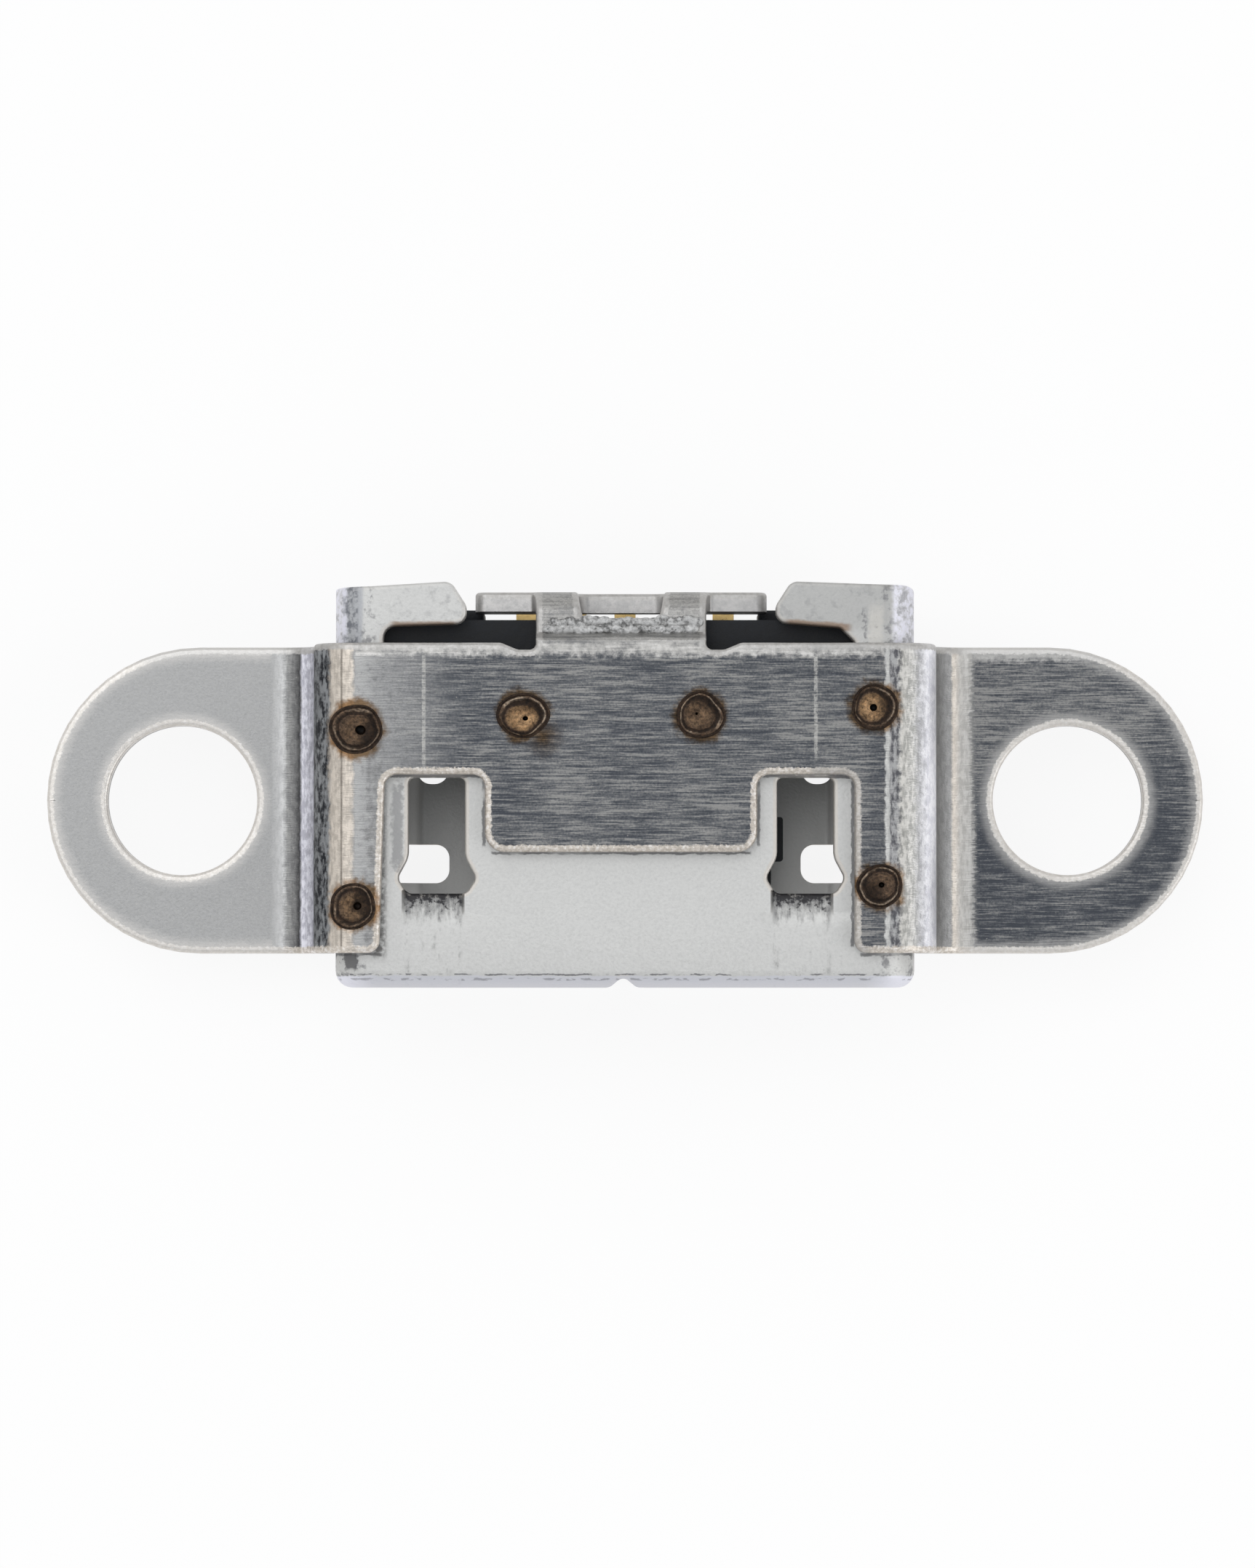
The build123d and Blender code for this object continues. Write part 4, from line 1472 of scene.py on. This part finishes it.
def ear_highlights(tree, ground, sizes, at, noises):
    """Painted highlights: paler rings round the ears' holes and along their outer edges."""
    arc_x = BRACKET_HIGH.x / MM - sizes.depth / 2
    middle_y = BRACKET_LOW.y / MM + sizes.depth / 2
    rings = []
    for middle_x, near, far, least in ((sizes.hole_x, 1.04, 1.20, 0.0), (arc_x, 1.93, 1.76, arc_x)):
        across = maths(tree, "MAXIMUM", at.out, least)
        here = add_node(tree, "ShaderNodeCombineXYZ", {0: across, 1: at.y}).outputs["Vector"]
        middle = {0: here, 1: (middle_x, middle_y, 0)}
        away = add_node(tree, "ShaderNodeVectorMath", middle, operation="DISTANCE").outputs["Value"]
        away = ragged(tree, ragged(tree, away, noises.coarse, 0.08), noises.lines, 0.2)
        rings.append(reach_between(tree, away, far, near))
    glow = times(tree, largest(tree, rings), reach_between(tree, at.out, *BRACKET_MARKS.ears))
    tone = mix(tree, at.left_ear, BRACKET_TINTS.glow, BRACKET_TINTS.left_glow)
    return lay(tree, ground, glow, 0.75, tone)


def fold_light_and_shade(tree, ground, finishes, at, noises):
    """The painted light and shade in bands on both folds, upright and mottled, and the hairline on the left
    one.
    """
    marks = BRACKET_MARKS
    settled = ragged(tree, at.along, noises.coarse, 0.09)
    share = reach_linear(tree, settled, FOLD_FROM, FOLD_TO)
    pick = reach_between(tree, blended(tree, noises.upright, noises.coarse, 0.6), 0.41, 0.59)
    is_right = reach_between(tree, at.flat_x, -0.1, 0.1)
    left = bands(tree, share, pick, left_bands(finishes.ear, finishes.edge))
    right = bands(tree, share, pick, right_bands(finishes.mid_brush, finishes.light_brush))
    on_left = band(tree, settled, *marks.left_bands, 0.03)
    frayed = band(tree, ragged(tree, settled, noises.lines, 0.5), *marks.right_bands, 0.07)
    on_right = times(tree, frayed, band(tree, settled, *marks.right_bands_edge, 0.03))
    on_fold = add_node(tree, "ShaderNodeMix", {0: is_right, 2: on_left, 3: on_right}).outputs[0]
    ground = mix(tree, on_fold, ground, mix(tree, is_right, left, right))
    hairline = band(tree, at.along, *marks.hairline, 0.006)
    hairline = times(tree, hairline, reach_between(tree, at.flat_x, 0.0, -0.1))
    return lay(tree, ground, hairline, 0.6, BRACKET_TINTS.hairline)


def edge_marks(tree, ground, rim, finishes, at, noises):
    """Painted highlights along the punched edges, a darker pocked tab and grey cut walls."""
    marks, tints = BRACKET_MARKS, BRACKET_TINTS
    coarse, flecks = noises.coarse, noises.flecks
    ear, cream = finishes.ear, finishes.edge
    on_tab = reach_between(tree, at.y, *marks.tab)
    ground = lay(tree, ground, on_tab, 0.13, shade(ear, 0.3))
    pocked = reach_between(tree, ragged(tree, coarse, flecks, 0.4), 0.50, 0.60)
    ground = lay(tree, ground, times(tree, pocked, on_tab), 0.48, shade(ear, 0.35))

    creams = [(0.36, shade(cream, 0.78)), (0.5, shade(cream, 1.04)), (0.64, tints.edge_light)]
    edge = ramp(tree, flecks, creams)
    behind = reach_between(tree, at.y, *marks.behind)
    edge = lay(tree, edge, behind, 0.8, mix(tree, coarse, shade(ear, 0.85), shade(ear, 1.35)))
    edge = lay(tree, edge, reach_between(tree, at.out, *marks.ear_rims), 0.6, tints.ear_edge)
    edge = lay(tree, edge, at.on_leg, 0.5, tints.leg_edge)
    toned = lay(tree, ground, rim, 0.85, edge)
    sheared = ramp(tree, coarse, [(0.35, tints.sheared_dark), (0.6, tints.sheared_light)])
    sheared = lay(tree, sheared, behind, 0.5, tints.sheared_behind)
    return mix(tree, reach_between(tree, at.rim, *WALL_RIM), toned, sheared)


def scribed_lines(tree, toned, at, flecks):
    """Two thin lines that were scribed along the strip."""
    half = BRACKET_MARKS.scribed_half
    for across, front in ((-2.59, 0.3), (2.46, 0.45)):
        thin = band(tree, ragged(tree, at.x, flecks, 0.03), across - half, across + half, 0.014)
        run = band(tree, at.y, front, BRACKET_MARKS.scribed_rear, 0.2)
        scribed = times(tree, thin, run, reach_between(tree, flecks, 0.3, 0.6))
        toned = lay(tree, toned, scribed, 0.6, BRACKET_TINTS.scribed)
    return toned


def bracket_material(finishes, sizes, groups):
    """Brushed steel: lines along the strip, a matte left ear, painted highlights and shade in bands on the
    folds and stains at the welds.
    """
    material, tree, shader, place = new_material("Brushed steel", 0.85, 0.4)
    noises = SimpleNamespace(
        grain=grain_noise(tree, groups, place, 34.0),
        flecks=grain_noise(tree, groups, place, 22.0),
        coarse=grain_noise(tree, groups, place, 11.0),
        broad=grain_noise(tree, groups, place, 0.8),
        wide=streak_noise(tree, groups, place, 1.0, 21.0, 3.0),
        fine=streak_noise(tree, groups, place, 3.0, 52.0, 3.0),
        upright=streak_noise(tree, groups, place, 26.0, 6.0, 4.0),
    )
    at = sheet_places(tree, place)
    at.out = maths(tree, "ABSOLUTE", at.x)
    at.on_leg = band(tree, at.x, *BRACKET_MARKS.right_leg, 0.1)
    at.left_ear = reach_between(tree, at.x, *BRACKET_MARKS.left_ear)
    at.rear_edge = reach_between(tree, ragged(tree, at.y, noises.coarse, 0.2), *BRACKET_MARKS.rear_band)
    noises.lines = brushed_lines(tree, at, noises)

    toned = bracket_ground(tree, finishes, at, noises)
    toned = ear_highlights(tree, toned, sizes, at, noises)
    toned = fold_light_and_shade(tree, toned, finishes, at, noises)
    rim = use_group(tree, groups["rim"], {"Vector": place, "Rim": at.rim, "Break": 1.5})
    toned = edge_marks(tree, toned, rim, finishes, at, noises)
    toned = scribed_lines(tree, toned, at, noises.flecks)
    toned = lay(tree, toned, heat_stain(tree, groups, place), 0.95, BRACKET_TINTS.heat, "MULTIPLY")
    coat(tree, shader, toned, noises.grain, 0.25, 0.3)
    smooth_share = maths(tree, "SUBTRACT", 1.0, largest(tree, [at.left_ear, at.rear_edge]))
    bump(tree, shader, raised(tree, times(tree, noises.fine, smooth_share), noises.grain, 0.35), 0.006)
    return material


def heat_stain(tree, groups, place):
    """The stains of all weld spots together, with a splash beside the second."""
    stains = [(spot.x, spot.y, 0.29 * spot.size, 0.41 * spot.size) for spot in WELDS]
    stains.append((WELDS[1].x + 0.24, WELDS[1].y - 0.26, 0.0, 0.36))
    top = BRACKET_HIGH.z / MM
    return largest(tree, [
        use_group(
            tree, groups["heat"], {"Vector": place, "Centre": (x, y, top), "Inner": inner, "Outer": outer}
        )
        for x, y, inner, outer in stains
    ])


# The weld spots' pits and grooves, darkened as painted shade, their painted shadow and their mottling
WELD_TINTS = SimpleNamespace(
    pinhole=grey(0.002),
    pinhole_side=(0.006, 0.005, 0.004),
    groove=(0.022, 0.012, 0.007),
    soot=(0.016, 0.009, 0.005),
    burnt=((0.62, 0.58, 0.54), (1.15, 1.13, 1.10)),
    blotches=((0.4, 0.37, 0.34), grey(1.0), (1.6, 1.5, 1.38)),
)


def ring_stops(weld, middle, dish):
    """Colours of a weld spot from its middle to its rim: pinhole, middle, dish, grooves and rings, the
    pinhole and grooves darkened as painted shade and the raised rings lightened as painted highlights.
    """
    dark = WELD_TINTS.groove
    return [
        (0.0, WELD_TINTS.pinhole),
        (0.09, WELD_TINTS.pinhole_side),
        (0.16, middle or shade(weld, 0.8)),
        (0.28, middle or shade(weld, 1.15)),
        (0.40, middle or shade(weld, 0.8)),
        (0.48, dish or shade(weld, 1.2)),
        (0.55, dish or shade(weld, 0.75)),
        (0.62, weld),
        (0.66, dark),
        (0.73, shade(weld, 0.3)),
        (0.78, shade(weld, 0.8)),
        (0.83, shade(weld, 1.3)),
        (0.87, shade(weld, 0.5)),
        (0.92, dark),
        (0.97, shade(weld, 0.45)),
        (1.0, shade(weld, 0.5)),
    ]


def weld_material(finishes, groups):
    """Brown heat-tinted weld metal in rings of painted highlight and shade, some spots tan in the middle,
    with a pinhole darkened as painted shade.
    """
    material, tree, shader, place = new_material("Weld tint", 0.45, 0.5)
    shader.inputs["Specular IOR Level"].default_value = 0.25
    grain = grain_noise(tree, groups, place, 9.0)
    fine = grain_noise(tree, groups, place, 30.0)
    warp = grain_noise(tree, groups, place, 3.2)
    ring, tan, soot, pale = (
        add_node(tree, "ShaderNodeAttribute", attribute_name=name).outputs["Fac"] for name in WELD_LAYERS
    )
    share = ragged(tree, ragged(tree, ring, grain, 0.10), warp, 0.2)
    plain = ramp(tree, share, ring_stops(finishes.weld, None, None))
    tanned = ramp(tree, share, ring_stops(finishes.weld, finishes.tan, shade(finishes.tan, 0.6)))
    tint = mix(tree, tan, plain, tanned)
    # A painted highlight along the crest of the raised ring, as strong as each spot's pale share
    ring_highlight = times(tree, band(tree, share, 0.79, 0.84, 0.03), reach_between(tree, warp, 0.42, 0.6))
    tint = lay(tree, tint, ring_highlight, pale, finishes.weld_bright)
    # Painted shadow on one side of the groove and dish, with char round the middle
    shadowed_and_charred = reach_between(tree, ragged(tree, soot, grain, 0.5), 0.25, 0.75)
    tint = lay(tree, tint, shadowed_and_charred, 0.88, WELD_TINTS.soot)
    burnt = ramp(tree, grain, list(zip((0.38, 0.62), WELD_TINTS.burnt)))
    tint = mix(tree, 1.0, tint, burnt, "MULTIPLY")
    blotches = ramp(tree, fine, list(zip((0.34, 0.5, 0.66), WELD_TINTS.blotches)))
    coat(tree, shader, mix(tree, 1.0, tint, blotches, "MULTIPLY"), grain, 0.3, 0.35)
    bump(tree, shader, grain, 0.008)
    return material


def lump_material(finishes, groups):
    """Rough light metal of the lumps along the tab."""
    material, tree, shader, place = new_material("Rough lumps", 0.7, 0.5)
    grain = grain_noise(tree, groups, place, 16.0)
    ear = finishes.ear
    tint = ramp(tree, grain, [(0.36, shade(ear, 0.4)), (0.5, shade(ear, 1.15)), (0.68, shade(ear, 1.6))])
    tree.links.new(tint, shader.inputs["Base Color"])
    bump(tree, shader, grain, 0.008)
    return material


def moulding_material(finishes, groups):
    """Black glass-filled moulding with a dull skin."""
    material, tree, shader, place = new_material("Black moulding", 0.0, 0.55)
    shader.inputs["Specular IOR Level"].default_value = 0.3
    grain = grain_noise(tree, groups, place, 12.0)
    tint = ramp(tree, grain, [(0.35, finishes.moulding), (0.75, shade(finishes.moulding, 2.2))])
    coat(tree, shader, tint, grain, 0.3, 0.4)
    bump(tree, shader, grain, 0.004)
    return material


def gold_material(finishes, groups):
    """Gold-plated contact strip with a faint grain."""
    material, tree, shader, place = new_material("Gold plating", 1.0, 0.3)
    grain = grain_noise(tree, groups, place, 10.0)
    tint = ramp(tree, grain, [(0.35, shade(finishes.gold, 0.8)), (0.65, finishes.gold)])
    coat(tree, shader, tint, grain, 0.2, 0.2)
    return material


def shared_groups():
    """The shader groups that the finishes share, made once."""
    return {
        "streaks": bpy.data.node_groups.get("Brushed lines") or streak_group(),
        "grain": bpy.data.node_groups.get("Sheet grain") or speckle_group(),
        "rim": bpy.data.node_groups.get("Punched rim") or rim_group(),
        "heat": bpy.data.node_groups.get("Heat stain") or heat_group(),
    }


class SOCKET_OT_shell(bpy.types.Operator):
    """Build the folded shell"""

    bl_idname = "socket.shell"
    bl_label = "Shell"

    def execute(self, context):
        scene = context.scene
        sizes = millimetres(scene.socket_shell)
        bracket = millimetres(scene.socket_bracket)
        build_shell(sizes, shell_material(scene.socket_finishes, sizes, bracket, shared_groups()))
        return {"FINISHED"}


class SOCKET_OT_bracket(bpy.types.Operator):
    """Build the screw bracket"""

    bl_idname = "socket.bracket"
    bl_label = "Bracket"

    def execute(self, context):
        scene = context.scene
        sizes = millimetres(scene.socket_bracket)
        material = bracket_material(scene.socket_finishes, sizes, shared_groups())
        weld_radius = scene.socket_welds.radius / MM
        build_bracket(sizes, millimetres(scene.socket_shell), weld_radius, material)
        return {"FINISHED"}


class SOCKET_OT_welds(bpy.types.Operator):
    """Build the weld spots"""

    bl_idname = "socket.welds"
    bl_label = "Weld spots"

    def execute(self, context):
        scene = context.scene
        material = weld_material(scene.socket_finishes, shared_groups())
        build_welds(millimetres(scene.socket_welds), BRACKET_HIGH.z / MM, material)
        rough = lump_material(scene.socket_finishes, shared_groups())
        build_lumps(millimetres(scene.socket_bracket), rough)
        return {"FINISHED"}


class SOCKET_OT_inside(bpy.types.Operator):
    """Finish the moulded housing and its contacts"""

    bl_idname = "socket.inside"
    bl_label = "Housing and contacts"

    def execute(self, context):
        finishes = context.scene.socket_finishes
        groups = shared_groups()
        black = moulding_material(finishes, groups)
        gold = gold_material(finishes, groups)
        build_lugs(millimetres(context.scene.socket_shell), black)
        for name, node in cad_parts.items():
            if name == "housing" or name.startswith("contact"):
                node.data.materials.clear()
                node.data.materials.append(black if name == "housing" else gold)
        return {"FINISHED"}


def build_floor():
    """A wide pale floor that keeps a soft shadow, and shows as white where nothing darkens it."""
    bm = bmesh.new()
    bmesh.ops.create_grid(bm, x_segments=1, y_segments=1, size=0.4)
    mesh = bpy.data.meshes.new("floor")
    bm.to_mesh(mesh)
    bm.free()
    floor = bpy.data.objects.new("floor", mesh)
    bpy.context.scene.collection.objects.link(floor)
    material = bpy.data.materials.new("Pale floor")
    material.use_nodes = True
    tree = material.node_tree
    tree.nodes.clear()
    out = tree.nodes.new("ShaderNodeOutputMaterial")
    matte = add_node(tree, "ShaderNodeBsdfDiffuse", {"Color": (0.92, 0.92, 0.92, 1.0)})
    glow = add_node(tree, "ShaderNodeEmission", {"Color": (1.0, 1.0, 1.0, 1.0), "Strength": 1.0})
    rays = add_node(tree, "ShaderNodeLightPath")
    seen = maths(tree, "MAXIMUM", rays.outputs["Is Camera Ray"], rays.outputs["Is Glossy Ray"])
    share = maths(tree, "MULTIPLY", seen, 0.87)
    both = add_node(tree, "ShaderNodeMixShader", {0: share, 1: matte.outputs[0], 2: glow.outputs[0]})
    tree.links.new(both.outputs[0], out.inputs["Surface"])
    mesh.materials.append(material)


def build_world():
    """Plain soft light from all round, a little dimmer overhead."""
    world = bpy.data.worlds.new("Studio")
    bpy.context.scene.world = world
    world.use_nodes = True
    tree = world.node_tree
    back = tree.nodes["Background"]
    direction = add_node(tree, "ShaderNodeTexCoord")
    split = add_node(tree, "ShaderNodeSeparateXYZ", {0: direction.outputs["Generated"]})
    overhead = reach_between(tree, split.outputs["Z"], 0.55, 1.0)
    sky = mix(tree, overhead, (1.0, 1.0, 1.0), (0.62, 0.64, 0.67))
    rays = add_node(tree, "ShaderNodeLightPath")
    shown = mix(tree, rays.outputs["Is Camera Ray"], sky, (1.0, 1.0, 1.0))
    tree.links.new(shown, back.inputs["Color"])
    back.inputs["Strength"].default_value = 0.85


def build_lamp(name, place, size, energy):
    """A soft lamp that looks at the socket."""
    data = bpy.data.lights.new(name, "AREA")
    data.shape = "DISK"
    data.size = size
    data.energy = energy
    lamp = bpy.data.objects.new(name, data)
    lamp.location = place
    lamp.rotation_euler = (-Vector(place)).to_track_quat("-Z", "Y").to_euler()
    bpy.context.scene.collection.objects.link(lamp)


def build_camera(place):
    """A long lens almost straight above, as the picture was taken."""
    data = bpy.data.cameras.new("Camera")
    data.sensor_width = 36.0
    data.lens = data.sensor_width * place.distance / place.frame_height
    data.clip_start = 0.001
    data.clip_end = 10.0
    camera = bpy.data.objects.new("Camera", data)
    aim = Vector((place.aim_x, place.aim_y, BRACKET_HIGH.z))
    away = Vector((0, -math.cos(place.elevation), math.sin(place.elevation)))
    camera.location = aim + away * place.distance
    camera.rotation_euler = (-away).to_track_quat("-Z", "Y").to_euler()
    bpy.context.scene.collection.objects.link(camera)
    bpy.context.scene.camera = camera


class SOCKET_OT_stage(bpy.types.Operator):
    """Set up the floor, light and camera"""

    bl_idname = "socket.stage"
    bl_label = "Stage"

    def execute(self, context):
        build_floor()
        build_world()
        build_lamp("Key", (-0.06, 0.08, 0.25), 0.2, 0.16)
        build_lamp("Fill", (0.18, -0.06, 0.16), 0.14, 0.10)
        build_camera(context.scene.socket_camera)
        context.scene.view_settings.view_transform = "Standard"
        return {"FINISHED"}


class SOCKET_PT_panel(bpy.types.Panel):
    """Lists the steps that build the socket"""

    bl_label = "Charging socket"
    bl_idname = "SOCKET_PT_panel"
    bl_space_type = "VIEW_3D"
    bl_region_type = "UI"
    bl_category = "Socket"

    def draw(self, context):
        for step in STEPS:
            self.layout.operator(step.bl_idname)


STEPS = [SOCKET_OT_shell, SOCKET_OT_bracket, SOCKET_OT_welds, SOCKET_OT_inside, SOCKET_OT_stage]
SETTINGS = {
    "socket_shell": ShellSizes,
    "socket_bracket": BracketSizes,
    "socket_welds": WeldSizes,
    "socket_finishes": Finishes,
    "socket_camera": CameraPlace,
}


def register():
    for name, group in SETTINGS.items():
        bpy.utils.register_class(group)
        setattr(bpy.types.Scene, name, PointerProperty(type=group))
    for step in STEPS:
        bpy.utils.register_class(step)
    bpy.utils.register_class(SOCKET_PT_panel)


def unregister():
    bpy.utils.unregister_class(SOCKET_PT_panel)
    for step in reversed(STEPS):
        bpy.utils.unregister_class(step)
    for name, group in SETTINGS.items():
        delattr(bpy.types.Scene, name)
        bpy.utils.unregister_class(group)


def main():
    """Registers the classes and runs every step."""
    register()
    bpy.ops.socket.stage()
    bpy.ops.socket.shell()
    bpy.ops.socket.bracket()
    bpy.ops.socket.welds()
    bpy.ops.socket.inside()


if __name__ == "__main__":
    main()
